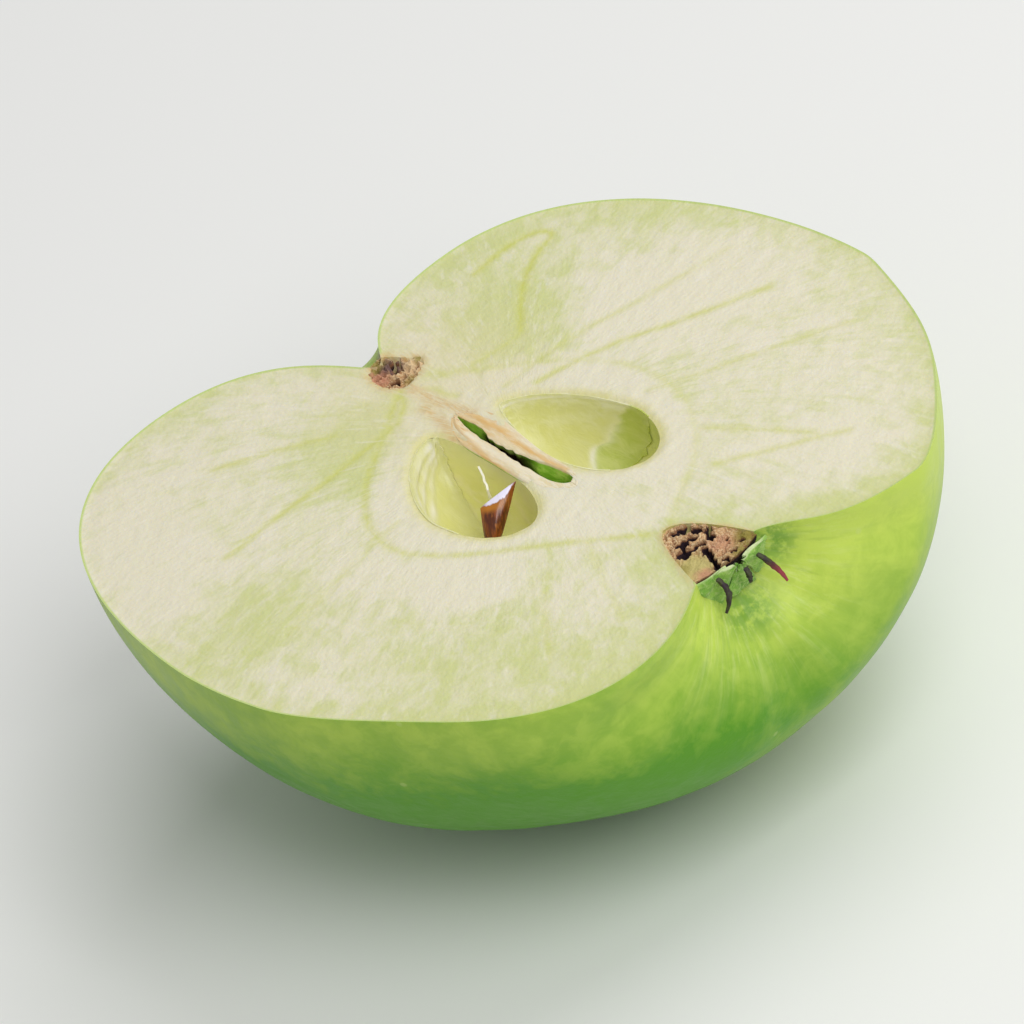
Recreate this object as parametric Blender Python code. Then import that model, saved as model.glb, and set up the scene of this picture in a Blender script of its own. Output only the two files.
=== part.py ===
"""Half of a green apple, cut from stem to calyx and lying on its round side with the cut face up.

Blender units are metres and the sizes below are millimetres. The cut face is level, the stem end
points to +Y and the calyx end to -Y. The origin is under the middle of the half, on the surface
that it lies on. Places on the cut face are given as (x, y) from the apple's core line.
"""
import bmesh
import bpy
import numpy as np
from math import pi

MM = 0.001
GAP = 0.3

# The apple's outline in the plane of the cut, one lobe on each side of the core line.
STEM_PIT_Y = 22.0
BASIN_Y = -27.6
RIGHT_LOBE = {
    "shoulder": (14.2, 29.9), "cheek": (38.0, -5.6), "crown": (18.3, -34.5),
    "pit_wall": 0.89, "shoulder_fullness": 0.75, "upper_cheek": 0.32,
    "lower_cheek": 0.27, "heel": 0.27, "crown_fullness": 0.66, "basin_wall": 0.47,
}
LEFT_LOBE = {
    "shoulder": (17.3, 34.5), "cheek": (38.6, 2.6), "crown": (14.9, -34.0),
    "pit_wall": 0.79, "shoulder_fullness": 0.75, "upper_cheek": 0.52,
    "lower_cheek": 0.37, "heel": 0.62, "crown_fullness": 0.58, "basin_wall": 0.25,
}
CORE_X = (LEFT_LOBE["cheek"][0] - RIGHT_LOBE["cheek"][0]) / 2
DEPTH_SHARE = 0.87
CALYX_SHIFT = 2.0
SHIFT_START_Y = -8.0
SHIFT_END_Y = -24.0

# Shallow folds that run over the calyx end, and the sliver taken off for the flat rest.
FOLD_COUNT = 5
FOLD_DEPTH = 0.9
FOLD_REACH = (5.0, 27.0)
REST_SLIVER = 0.36

ARC_STEPS = 11
TURN_STEPS = 44
RING_POINTS = 36
BOWL_RINGS = 7

# The two seed chambers and the slit between them: four extreme points of each mouth.
RIGHT_CHAMBER = {
    "top": (3.6, 7.4), "outer": (10.8, -4.9), "foot": (6.9, -11.2), "inner": (1.6, -2.0),
    "outer_power": 1.55, "inner_power": 1.5, "depth": 6.2,
}
LEFT_CHAMBER = {
    "top": (-3.9, 9.3), "outer": (-11.0, -0.9), "foot": (-5.7, -9.1), "inner": (-2.2, -1.0),
    "outer_power": 1.65, "inner_power": 2.8, "depth": 6.6,
}
SLIT = {
    "top": (-0.1, 9.6), "outer": (2.15, 0.6), "foot": (0.0, -8.1), "inner": (-2.65, 0.6),
    "outer_power": 2.4, "inner_power": 2.4, "depth": 4.8,
}
BOWL_POWER = 2.6

# Papery linings of the chambers: the sector of each bowl that they cover, in degrees from +X.
LINING_THICKNESS = 0.35
RIGHT_LINING = (-12.0, 232.0)
LEFT_LINING = (62.0, 205.0)

# Carpel walls on both sides of the slit, which widens to the right towards the calyx.
SLIT_LEFT_X = -0.75
SLIT_RIGHT_X = 0.15
SLIT_WIDENING = 0.45
WALL_ANGLE = 64.0
WALL_LEAST = 0.35
WALL_DEPTH = 3.7

# Seed: a narrow facet from its tip to its corner on top, and a narrow foot down in the chamber.
SEED_TIP = (-2.5, -2.75, -0.45)
SEED_CORNER = (-6.5, -2.0, -1.25)
SEED_FOOT = (-7.9, -4.4, -4.5)
SEED_FACET = 0.8
SEED_THICKNESS = 1.8
SEED_TAPER = 0.6

# Broken stem at the bottom of its pit.
STEM_CENTRE = (0.9, 20.3)
STEM_REACH = (2.7, 3.2, 2.7)

# Dry flower remains: a bell that opens into the basin.
TUBE_APEX = (1.2, -20.9)
TUBE_MOUTH = (1.8, -28.3)
TUBE_RADII = (0.7, 3.9)

# Green sepals that close the mouth of the tube, by the bearing of their middle below the cut.
SEPAL_BEARINGS = {"sepal_left": 150.0, "sepal_middle": 91.0, "sepal_right": 30.0}
SEPAL_CENTRE_X = 2.4
SEPAL_BASE_Y = -29.2
SEPAL_RADII = (3.5, 1.2)
SEPAL_HALF_ANGLE = 27.0
SEPAL_LIFT = 0.7
SEPAL_THICKNESS = 0.4

# Dried sepal tips that hang in front: start, bend and end.
DRY_TIPS = {
    "dry_tip_left": ((0.5, -30.6, -0.5), (0.2, -31.2, -1.9), (-0.7, -31.1, -3.2)),
    "dry_tip_middle": ((3.1, -30.9, -0.5), (3.1, -31.3, -1.2), (2.9, -31.2, -1.9)),
    "dry_tip_right": ((4.6, -30.9, -0.4), (5.2, -31.6, -1.7), (5.5, -32.0, -3.4)),
}
DRY_TIP_RADII = (0.32, 0.42, 0.2)


def curve_arc(start, start_pull, end_pull, end, steps):
    """A cubic curve from start to end, drawn towards the two pull points, without its last point."""
    t = np.linspace(0.0, 1.0, steps, endpoint=False)[:, None]
    s = 1.0 - t
    return (s**3 * np.array(start) + 3 * s * s * t * np.array(start_pull)
            + 3 * s * t * t * np.array(end_pull) + t**3 * np.array(end))


def lobe_outline(lobe):
    """Points (radius, y) from the stem pit over the shoulder, cheek and crown to the basin floor."""
    shoulder_r, shoulder_y = lobe["shoulder"]
    cheek_r, cheek_y = lobe["cheek"]
    crown_r, crown_y = lobe["crown"]
    pit_mouth = (shoulder_r * (1 - lobe["pit_wall"]), shoulder_y)
    shoulder_out = (shoulder_r + lobe["shoulder_fullness"] * (cheek_r - shoulder_r), shoulder_y)
    cheek_up = (cheek_r, cheek_y + lobe["upper_cheek"] * (shoulder_y - cheek_y))
    cheek_down = (cheek_r, cheek_y + lobe["lower_cheek"] * (crown_y - cheek_y))
    crown_out = (crown_r + lobe["heel"] * (cheek_r - crown_r), crown_y)
    crown_in = (crown_r * (1 - lobe["crown_fullness"]), crown_y)
    basin_out = (crown_r * lobe["basin_wall"], BASIN_Y)
    pit = (0.0, STEM_PIT_Y)
    basin = (0.0, BASIN_Y)
    return np.concatenate([
        curve_arc(pit, (1.6, STEM_PIT_Y), pit_mouth, lobe["shoulder"], ARC_STEPS),
        curve_arc(lobe["shoulder"], shoulder_out, cheek_up, lobe["cheek"], ARC_STEPS),
        curve_arc(lobe["cheek"], cheek_down, crown_out, lobe["crown"], ARC_STEPS),
        curve_arc(lobe["crown"], crown_in, basin_out, basin, ARC_STEPS),
        [basin],
    ])


def smooth_step(value, start, end):
    """0 at start, 1 at end, level at both."""
    t = np.clip((value - start) / (end - start), 0.0, 1.0)
    return t * t * (3 - 2 * t)


def core_shift(y):
    """How far the core line leans to +X towards the calyx."""
    return CALYX_SHIFT * smooth_step(y, SHIFT_START_Y, SHIFT_END_Y)


def calyx_fold(radius, turn):
    """Inward depth of the narrow folds between the ribs of the calyx end."""
    low, high = FOLD_REACH
    band = smooth_step(radius, low, (low + high) / 2) * smooth_step(radius, high, (low + high) / 2)
    groove = max(0.0, np.sin(FOLD_COUNT * turn)) ** 2
    return FOLD_DEPTH * band * groove


MEAN_CHEEK = max((lobe_outline(RIGHT_LOBE) + lobe_outline(LEFT_LOBE))[:, 0]) / 2
CUT_Z = DEPTH_SHARE * MEAN_CHEEK - REST_SLIVER


def make_material(name, colour, roughness):
    material = bpy.data.materials.new(name)
    material.use_nodes = True
    shader = material.node_tree.nodes["Principled BSDF"]
    shader.inputs["Base Color"].default_value = (*colour, 1.0)
    shader.inputs["Roughness"].default_value = roughness
    shader.inputs["Metallic"].default_value = 0.0
    return material


def object_from(mesh_builder, name, material):
    """Close the bmesh, turn its faces outwards, scale it from millimetres and link it."""
    bmesh.ops.recalc_face_normals(mesh_builder, faces=mesh_builder.faces)
    bmesh.ops.scale(mesh_builder, vec=(MM, MM, MM), verts=mesh_builder.verts)
    mesh = bpy.data.meshes.new(name)
    mesh_builder.to_mesh(mesh)
    mesh_builder.free()
    mesh.shade_smooth()
    if material:
        mesh.materials.append(material)
    made = bpy.data.objects.new(name, mesh)
    bpy.context.scene.collection.objects.link(made)
    return made


def loft(rings):
    """A bmesh through closed rings of points, with a flat face over each end."""
    shape = bmesh.new()
    rows = [[shape.verts.new(place(*point)) for point in ring] for ring in rings]
    for row, following in zip(rows, rows[1:]):
        for i, vertex in enumerate(row):
            j = (i + 1) % len(row)
            shape.faces.new((vertex, row[j], following[j], following[i]))
    shape.faces.new(rows[0])
    shape.faces.new(rows[-1])
    return shape


def place(x, y, z):
    """From the core line on the cut face to the part's own frame."""
    return (x + CORE_X, y, z + CUT_Z)


def as_cutter(made):
    made.hide_render = True
    made.display_type = "WIRE"
    return made


def chamber_mouth(chamber, angles):
    """Four quarter ovals through the chamber's extreme points, at angles from +X."""
    top, outer, foot, inner = (np.array(chamber[key]) for key in ("top", "outer", "foot", "inner"))
    right, left = (outer, inner) if outer[0] > inner[0] else (inner, outer)
    right_power, left_power = (
        (chamber["outer_power"], chamber["inner_power"]) if outer[0] > inner[0]
        else (chamber["inner_power"], chamber["outer_power"]))
    points = []
    for angle in angles:
        across, along = np.cos(angle), np.sin(angle)
        side, side_power = (right, right_power) if across >= 0 else (left, left_power)
        end, power = (top, side_power) if along >= 0 else (foot, 2.0)
        size = (abs(across) ** power + abs(along) ** power) ** (-1 / power)
        points.append((end[0] + (side[0] - end[0]) * abs(across) * size,
                       side[1] + (end[1] - side[1]) * abs(along) * size))
    return np.array(points)


def chamber_centre(chamber):
    return np.mean([chamber[key] for key in ("top", "outer", "foot", "inner")], axis=0)


def bowl_level(level):
    """Share of the mouth's size and of the depth at a level from 0, the rim, to 1, the bottom."""
    depth = np.sin(level * pi / 2)
    return (1 - depth**BOWL_POWER) ** (1 / BOWL_POWER), depth


def chamber_cutter(name, chamber):
    """The chamber's bowl, carried up through the cut face."""
    angles = np.linspace(0, 2 * pi, RING_POINTS, endpoint=False)
    mouth = chamber_mouth(chamber, angles)
    centre = chamber_centre(chamber)
    rings = [np.column_stack([mouth, np.full(len(mouth), 1.0)])]
    for level in np.linspace(0, 0.93, BOWL_RINGS):
        size, depth = bowl_level(level)
        ring = centre + (mouth - centre) * size
        rings.append(np.column_stack([ring, np.full(len(ring), -depth * chamber["depth"])]))
    return as_cutter(object_from(loft(rings), name, None))


def chamber_lining(name, chamber, sector, material):
    """A thin papery shell over a sector of the bowl, clear of the flesh by the gap."""
    start, end = np.radians(sector)
    angles = np.linspace(start, end, 26)
    mouth = chamber_mouth(chamber, angles)
    centre = chamber_centre(chamber)
    reach = np.linalg.norm(mouth - centre, axis=1)[:, None]
    shell = bmesh.new()
    rows = []
    for level in np.linspace(0.05, 0.9, 7):
        size, depth = bowl_level(level)
        inset = 1.9 * GAP * size
        ring = centre + (mouth - centre) * (size - inset / reach)
        height = -depth * (chamber["depth"] - 1.6 * GAP)
        rows.append([shell.verts.new(place(*point, height)) for point in ring])
    for row, following in zip(rows, rows[1:]):
        for i in range(len(row) - 1):
            shell.faces.new((row[i], row[i + 1], following[i + 1], following[i]))
    rim_to_bottom = rows[-1]
    shell.faces.new(rim_to_bottom)
    made = object_from(shell, name, material)
    solid = made.modifiers.new("paper", "SOLIDIFY")
    solid.thickness = LINING_THICKNESS * MM
    solid.offset = 0.0
    solid.use_even_offset = True
    return made


def slit_edge(side, y):
    """Where the slit's own face lies on one side, 1 for the right and -1 for the left."""
    if side < 0:
        return SLIT_LEFT_X
    return SLIT_RIGHT_X + SLIT_WIDENING * smooth_step(y, 0.0, SLIT["foot"][1])


def carpel_wall(name, side, material):
    """An upright strip from the slit's face out to the flesh, shallower at its ends."""
    angles = np.radians(np.linspace(-WALL_ANGLE, WALL_ANGLE, 17))
    if side < 0:
        angles = pi - angles
    centre = chamber_centre(SLIT)
    rings = []
    for x, y in chamber_mouth(SLIT, angles):
        y = centre[1] + (y - centre[1]) * (1 - 2 * GAP / 9)
        inner = slit_edge(side, y)
        outer = side * max(side * x - 1.3 * GAP, side * inner + WALL_LEAST)
        deep = WALL_DEPTH * (1 - 0.5 * abs((y - centre[1]) / 9) ** 4)
        section = [(0.0, -0.04), (0.06, 0.0), (0.94, 0.0), (1.0, -0.04),
                   (0.9, -0.6), (0.6, -1.0), (0.12, -1.0), (0.0, -0.8)]
        rings.append([(inner + (outer - inner) * across, y, deep * down)
                      for across, down in section])
    return object_from(loft(rings), name, material)


def apple_body(material):
    """Turn the outline half a round about the core line, then let it follow both lobes."""
    right = lobe_outline(RIGHT_LOBE)
    left = lobe_outline(LEFT_LOBE)
    body = bmesh.new()
    station = body.verts.layers.int.new("station")
    chain = [body.verts.new((radius, y, 0.0)) for radius, y in right]
    for i, vertex in enumerate(chain):
        vertex[station] = i
    edges = [body.edges.new(pair) for pair in zip(chain, chain[1:])]
    bmesh.ops.spin(body, geom=chain + edges, cent=(0, 0, 0), axis=(0, 1, 0),
                   angle=pi, steps=TURN_STEPS)
    for vertex in body.verts:
        x, _, z = vertex.co
        i = vertex[station]
        turn = abs(np.arctan2(-z, x))
        share = np.cos(turn / 2) ** 2
        radius, y = share * right[i] + (1 - share) * left[i]
        if y < 0:
            y += calyx_fold(radius, turn)
        vertex.co = place(radius * np.cos(turn) + core_shift(y), y,
                          -DEPTH_SHARE * radius * np.sin(turn))
    bmesh.ops.remove_doubles(body, verts=body.verts, dist=0.001)
    rim = [edge for edge in body.edges if edge.is_boundary]
    bmesh.ops.contextual_create(body, geom=rim)
    cut = bmesh.ops.bisect_plane(body, geom=body.verts[:] + body.edges[:] + body.faces[:],
                                 plane_co=(0, 0, 0), plane_no=(0, 0, -1), clear_outer=True)
    flat = [item for item in cut["geom_cut"] if isinstance(item, bmesh.types.BMEdge)]
    bmesh.ops.contextual_create(body, geom=flat)
    return object_from(body, "apple_half", material)


def half_ball_rings(centre, reach, roughness, rise):
    """Rings of a rough half ball below the cut face, its long way along Y."""
    rings = []
    for along in np.linspace(-0.96, 0.96, 11):
        size = np.sqrt(1 - along**2)
        ring = [(centre[0] + reach[0] * size, centre[1] + along * reach[1], rise)] if rise else []
        for angle in np.linspace(0, pi, 13):
            bump = 1 + roughness * np.sin(5 * angle + 4 * along) * np.cos(7 * along)
            ring.append((centre[0] + reach[0] * size * bump * np.cos(angle),
                         centre[1] + along * reach[1],
                         -reach[2] * size * bump * np.sin(angle)))
        if rise:
            ring.append((centre[0] - reach[0] * size, centre[1] + along * reach[1], rise))
        rings.append(ring)
    return rings


def bell_rings(apex, mouth, radii, roughness, rise):
    """Rings of a half bell below the cut face that widens from its apex to its mouth."""
    rings = []
    for along in np.linspace(0, 1, 9):
        x, y = np.array(apex) + along * (np.array(mouth) - apex)
        size = radii[0] + (radii[1] - radii[0]) * along**0.8
        ring = [(x + size, y, rise)] if rise else []
        for angle in np.linspace(0, pi, 15):
            bump = 1 + roughness * np.sin(6 * angle) * np.sin(3 * pi * along)
            ring.append((x + size * bump * np.cos(angle), y, -size * bump * np.sin(angle)))
        if rise:
            ring.append((x - size, y, rise))
        rings.append(ring)
    return rings


def stem_and_socket(material):
    socket = [reach + GAP for reach in STEM_REACH]
    cutter = as_cutter(object_from(loft(half_ball_rings(STEM_CENTRE, socket, 0.0, 1.0)),
                                   "stem_socket_cutter", None))
    stub_rings = half_ball_rings(STEM_CENTRE, [0.95 * reach for reach in STEM_REACH], 0.05, 0.0)
    object_from(loft(stub_rings), "stem_stub", material)
    return cutter


def calyx_and_tube(material):
    beyond = (TUBE_MOUTH[0] + 0.1, TUBE_MOUTH[1] - 2.5)
    cutter = as_cutter(object_from(
        loft(bell_rings(TUBE_APEX, beyond, (TUBE_RADII[0], TUBE_RADII[1] + 0.6), 0.0, 1.0)),
        "calyx_tube_cutter", None))
    inner_apex = (TUBE_APEX[0], TUBE_APEX[1] - 2 * GAP)
    inner_radii = (TUBE_RADII[0] - GAP, TUBE_RADII[1] - 2 * GAP)
    object_from(loft(bell_rings(inner_apex, TUBE_MOUTH, inner_radii, 0.06, 0.0)),
                "calyx_stamens", material)
    return cutter


def seed(material):
    """A shard-like drop: lens-shaped sections from the facet between tip and corner to the foot."""
    tip, corner, foot = (np.array(point) for point in (SEED_TIP, SEED_CORNER, SEED_FOOT))
    top = (tip + corner) / 2
    across = (tip - corner) / 2
    through = np.cross(foot - top, across)
    through /= np.linalg.norm(through)
    angles = np.linspace(0, 2 * pi, 16, endpoint=False)
    rings = []
    for along in np.linspace(0, 0.985, 12):
        end = (1 - along**5) ** 0.5
        wide = (1 - SEED_TAPER * along) * end
        thick = (SEED_FACET + (SEED_THICKNESS - SEED_FACET) * np.sin(pi * along**0.8)) * end
        centre = top + along * (foot - top)
        rings.append([centre + across * (wide * np.cos(a))
                      + through * (thick / 2 * np.sin(a) * abs(np.sin(a)) ** 0.3)
                      for a in angles])
    return object_from(loft(rings), "seed", material)


def sepal(name, bearing, material):
    """A thin wavy leaf in front of the tube, from the basin in towards the core line."""
    turn = np.radians(bearing)
    out = np.array((np.cos(turn), -np.sin(turn)))
    side = np.array((np.sin(turn), np.cos(turn)))
    leaf = bmesh.new()
    rows = []
    for along in np.linspace(0, 1, 9):
        radius = SEPAL_RADII[0] + (SEPAL_RADII[1] - SEPAL_RADII[0]) * along
        half = radius * np.sin(np.radians(SEPAL_HALF_ANGLE)) - GAP
        row = []
        for across in np.linspace(-1, 1, 6):
            wave = 0.12 * np.sin(6 * along + 4 * across) + 0.2 * across**2
            x, z = out * radius + side * (half * across)
            y = SEPAL_BASE_Y - SEPAL_LIFT * along + wave
            row.append(leaf.verts.new(place(SEPAL_CENTRE_X + x, y, z)))
        rows.append(row)
    for row, following in zip(rows, rows[1:]):
        for i in range(len(row) - 1):
            leaf.faces.new((row[i], row[i + 1], following[i + 1], following[i]))
    made = object_from(leaf, name, material)
    solid = made.modifiers.new("leaf", "SOLIDIFY")
    solid.thickness = SEPAL_THICKNESS * MM
    solid.offset = 0.0
    return made


def dry_tip(name, stations, material):
    """A withered thread, thickest in its middle, on a smooth curve through three stations."""
    curve = bpy.data.curves.new(name, "CURVE")
    curve.dimensions = "3D"
    curve.bevel_depth = MM
    curve.bevel_resolution = 1
    curve.use_fill_caps = True
    start, bend, end = (np.array(station) for station in stations)
    steps = np.linspace(0, 1, 9)
    spline = curve.splines.new("POLY")
    spline.points.add(len(steps) - 1)
    for point, t in zip(spline.points, steps):
        through = 2 * bend - (start + end) / 2
        spot = (1 - t) ** 2 * start + 2 * t * (1 - t) * through + t * t * end
        point.co = (*(MM * value for value in place(*spot)), 1.0)
        point.radius = np.interp(t, (0, 0.5, 1), DRY_TIP_RADII)
    made = bpy.data.objects.new(name, curve)
    curve.materials.append(material)
    bpy.context.scene.collection.objects.link(made)
    return made


def cut_with(target, cutter):
    cut = target.modifiers.new(cutter.name, "BOOLEAN")
    cut.operation = "DIFFERENCE"
    cut.solver = "EXACT"
    cut.object = cutter


def main():
    for old in list(bpy.data.objects):
        bpy.data.objects.remove(old)
    flesh = make_material("flesh_and_skin", (0.72, 0.74, 0.44), 0.5)
    paper = make_material("papery_lining", (0.68, 0.68, 0.27), 0.35)
    wall = make_material("carpel_wall", (0.78, 0.66, 0.40), 0.5)
    brown = make_material("dry_brown", (0.17, 0.09, 0.045), 0.85)
    seed_coat = make_material("seed_coat", (0.13, 0.04, 0.014), 0.3)
    sepal_green = make_material("sepal_green", (0.24, 0.38, 0.11), 0.8)

    apple = apple_body(flesh)
    cutters = [
        chamber_cutter("right_chamber_cutter", RIGHT_CHAMBER),
        chamber_cutter("left_chamber_cutter", LEFT_CHAMBER),
        chamber_cutter("slit_cutter", SLIT),
        stem_and_socket(brown),
        calyx_and_tube(brown),
    ]
    for cutter in cutters:
        cut_with(apple, cutter)
    chamber_lining("chamber_lining_right", RIGHT_CHAMBER, RIGHT_LINING, paper)
    chamber_lining("chamber_lining_left", LEFT_CHAMBER, LEFT_LINING, paper)
    carpel_wall("carpel_wall_right", 1, wall)
    carpel_wall("carpel_wall_left", -1, wall)
    seed(seed_coat)
    for name, bearing in SEPAL_BEARINGS.items():
        sepal(name, bearing, sepal_green)
    for name, stations in DRY_TIPS.items():
        dry_tip(name, stations, brown)


main()
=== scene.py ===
"""Looks of half a green apple that lies on its round side with the cut face up.

Lengths inside the shape functions are millimetres, measured from the apple's core line (x, y) and
from the cut face (z, negative below it). The function place() carries them into the part's frame.
"""
import bmesh
import bpy
import numpy as np
from math import cos, pi, radians, sin
from mathutils import Matrix, Vector
from mathutils.geometry import delaunay_2d_cdt


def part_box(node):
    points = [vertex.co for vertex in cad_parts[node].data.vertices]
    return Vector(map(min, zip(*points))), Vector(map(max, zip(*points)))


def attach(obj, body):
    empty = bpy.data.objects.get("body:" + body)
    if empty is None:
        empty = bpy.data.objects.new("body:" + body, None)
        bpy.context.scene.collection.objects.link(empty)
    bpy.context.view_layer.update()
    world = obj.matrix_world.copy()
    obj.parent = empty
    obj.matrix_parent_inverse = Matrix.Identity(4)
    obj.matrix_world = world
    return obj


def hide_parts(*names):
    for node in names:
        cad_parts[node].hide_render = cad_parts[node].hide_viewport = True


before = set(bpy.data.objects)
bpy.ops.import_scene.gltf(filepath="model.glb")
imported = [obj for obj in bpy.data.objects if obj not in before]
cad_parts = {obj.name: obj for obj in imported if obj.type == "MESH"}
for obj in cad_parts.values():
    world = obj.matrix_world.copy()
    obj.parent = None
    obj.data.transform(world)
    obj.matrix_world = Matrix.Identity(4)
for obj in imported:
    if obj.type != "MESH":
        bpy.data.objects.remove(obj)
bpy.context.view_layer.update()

bl_info = {
    "name": "Apple half looks",
    "version": (1, 0, 0),
    "blender": (4, 5, 0),
    "location": "View3D > Sidebar > Apple",
    "description": "Builds the flesh, skin, core, stem and calyx of half a green apple",
    "category": "Add Mesh",
}

# Millimetre, the one body, the height of the cut face, and how far the core line lies off the middle.
MM = 0.001
BODY = "root"
CUT_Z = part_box("apple_half")[1][2] / MM
CORE_X = 0.3

# Highest point of the small pieces, and of the relief on their tops.
PIECE_TOP = -0.02
RELIEF_TOP = -0.03

# Points closer than this, in metres, become one. Angles in degrees above which edges stay sharp.
MERGE_DISTANCE = 2e-6
SHARP_ANGLE = 50.0
BODY_SHARP_ANGLE = 42.0
SEED_SHARP_ANGLE = 70.0

# Outline of the cut face, as the part's own outline: a stem pit, shoulders, cheeks and crowns.
STEM_PIT_Y = 22.0
BASIN_Y = -27.6
RIGHT_LOBE = {
    "shoulder": (14.2, 29.9), "cheek": (38.0, -5.6), "crown": (18.3, -34.5),
    "pit_wall": 0.89, "shoulder_fullness": 0.75, "upper_cheek": 0.32,
    "lower_cheek": 0.27, "heel": 0.27, "crown_fullness": 0.66, "basin_wall": 0.47,
}
LEFT_LOBE = {
    "shoulder": (17.3, 34.5), "cheek": (38.6, 2.6), "crown": (14.9, -34.0),
    "pit_wall": 0.79, "shoulder_fullness": 0.75, "upper_cheek": 0.52,
    "lower_cheek": 0.37, "heel": 0.62, "crown_fullness": 0.58, "basin_wall": 0.25,
}

# Depth of the half as a share of its radius. The calyx end is shifted sideways between two heights.
DEPTH_SHARE = 0.87
CALYX_SHIFT = 2.0
SHIFT_Y = (-8.0, -24.0)

# Low folds over the calyx end, and the band of radii that has finer wrinkles.
FOLD_COUNT = 5
FOLD_DEPTH = 0.9
FOLD_REACH = (5.0, 27.0)
WRINKLES_RISE = (3.9, 6.5)
WRINKLES_FALL = (17.0, 8.0)

# Bell of the calyx: the basin turns in at its lip and runs up to the apex.
BELL_LIP_R = 3.9
BELL_APEX = (1.2, -20.9)
BELL_POWER = 0.52

# Soft waves over the whole skin: depth, seed, and lowest and highest turns per millimetre.
SKIN_WAVES = ((0.09, 3, 0.02, 0.06), (0.02, 4, 0.10, 0.22))

# Steps of the skin's grid: along the outline's four arcs, up the bell, and round the apple.
ARC_STEPS = (36, 84, 76, 44)
BELL_STEPS = 30
TURN_STEPS = 110

# Depth of the cut face below its plane, and of the skin below the part's own surface.
RIM_DROP = 0.12
SKIN_DROP = 0.04

# The seed chambers and the slit: the four extreme points of each mouth, the powers of its ovals on
# the outer and the inner side, and its depth.
RIGHT_CHAMBER = {
    "top": (3.6, 7.4), "outer": (10.8, -4.9), "foot": (6.9, -11.2), "inner": (1.6, -2.0),
    "outer_power": 1.55, "inner_power": 1.5, "depth": 6.2,
}
LEFT_CHAMBER = {
    "top": (-3.9, 9.3), "outer": (-11.0, -0.9), "foot": (-5.7, -9.1), "inner": (-2.2, -1.0),
    "outer_power": 1.65, "inner_power": 2.8, "depth": 6.6,
}
SLIT = {
    "top": (-0.1, 9.3), "outer": (1.35, 0.2), "foot": (0.35, -8.6), "inner": (-1.9, 0.2),
    "outer_power": 2.4, "inner_power": 2.4, "depth": 4.8,
}
BOWL_POWER = 2.6
BOWL_RINGS = 22
MOUTH_POINTS = (150, 150, 130)

# Lattice of the cut face: spacings near the core and further out, how far each part reaches, and the
# least distances from the rim, the holes and the bundles as shares of the spacing.
CORE_SPACING = 0.27
FLESH_SPACING = 0.46
CORE_REACH = 13.0
FLESH_REACH = 39.0
ROW_SHARE = 0.866
CLEAR_OF_RIM = 0.45
CLEAR_OF_HOLE = 0.5
CLEAR_OF_BUNDLE = 0.35

# Relief of the cut face: most grain, groove along a bundle, fall to a chamber and the fall's width.
GRAIN_LIMIT = 0.07
GROOVE_DEPTH = 0.04
CHAMBER_FALL = 0.2
CHAMBER_FALL_WIDTH = 0.42

# Numbers of the body's finishes. Points of the holes count as this far from the skin, and the
# flesh's marks end at a depth below the cut face.
FLESH, SKIN, CHAMBER_WALL, BELL_WALL, SLIT_WALL = range(5)
DEEP_INSIDE = 9.0
MARK_DEPTH = 2.2

# Greenish bundles that show in the flesh: how strongly each shows, and points along it. The last
# two are the core line round the carpels.
VEINS = (
    (0.95, ((11.5, 14.2), (14.5, 18.5), (19.5, 22.3), (22.9, 23.1), (21.8, 25.0), (18.8, 25.7),
            (14.0, 25.0))),
    (0.8, ((7.5, 6.8), (14.5, 5.6), (21.0, 2.0), (29.5, -1.5))),
    (0.5, ((5.5, 9.0), (13.0, 9.5), (22.0, 7.5), (31.0, 6.5))),
    (0.45, ((13.0, -3.5), (18.5, -6.5), (25.5, -9.5), (31.0, -12.5))),
    (0.55, ((12.5, -12.0), (15.5, -17.0), (18.5, -22.0))),
    (0.6, ((10.0, -17.5), (15.0, -20.5), (20.5, -24.5))),
    (0.8, ((-4.5, 13.5), (-12.0, 12.6), (-19.0, 12.6), (-26.0, 12.0))),
    (0.7, ((-9.0, 17.5), (-14.0, 21.0), (-19.0, 23.6))),
    (0.35, ((-13.0, 2.0), (-21.0, 0.5), (-29.0, -2.0))),
    (0.35, ((-9.0, -16.0), (-13.5, -21.0), (-16.5, -26.0))),
    (0.35, ((-4.0, -15.5), (-6.5, -21.0), (-9.0, -27.5))),
    (0.5, ((2.4, 15.6), (6.0, 13.4), (11.5, 14.0))),
    (0.8, ((-0.9, 17.3), (-2.0, 15.1), (-3.1, 14.3), (-4.2, 13.4))),
    (0.7, ((0.4, 15.4), (1.3, 14.8), (1.2, 13.1), (1.7, 11.9))),
    (0.75, ((0.9, -21.0), (-1.5, -18.4), (-5.4, -14.2), (-9.5, -10.1), (-13.4, -5.9),
            (-15.9, -1.5), (-15.4, 4.0), (-11.0, 9.6), (-5.5, 13.6), (-1.2, 17.2))),
    (0.4, ((1.6, -21.0), (4.6, -18.2), (9.5, -15.4), (13.6, -10.0), (15.3, -3.5),
           (13.8, 3.5), (9.4, 9.4), (5.0, 13.4), (2.2, 16.8))),
)
CORE_LINES = VEINS[-2:]
VEIN_WIDTH = 0.45
BUNDLE_WIDTH = 0.42

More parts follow.
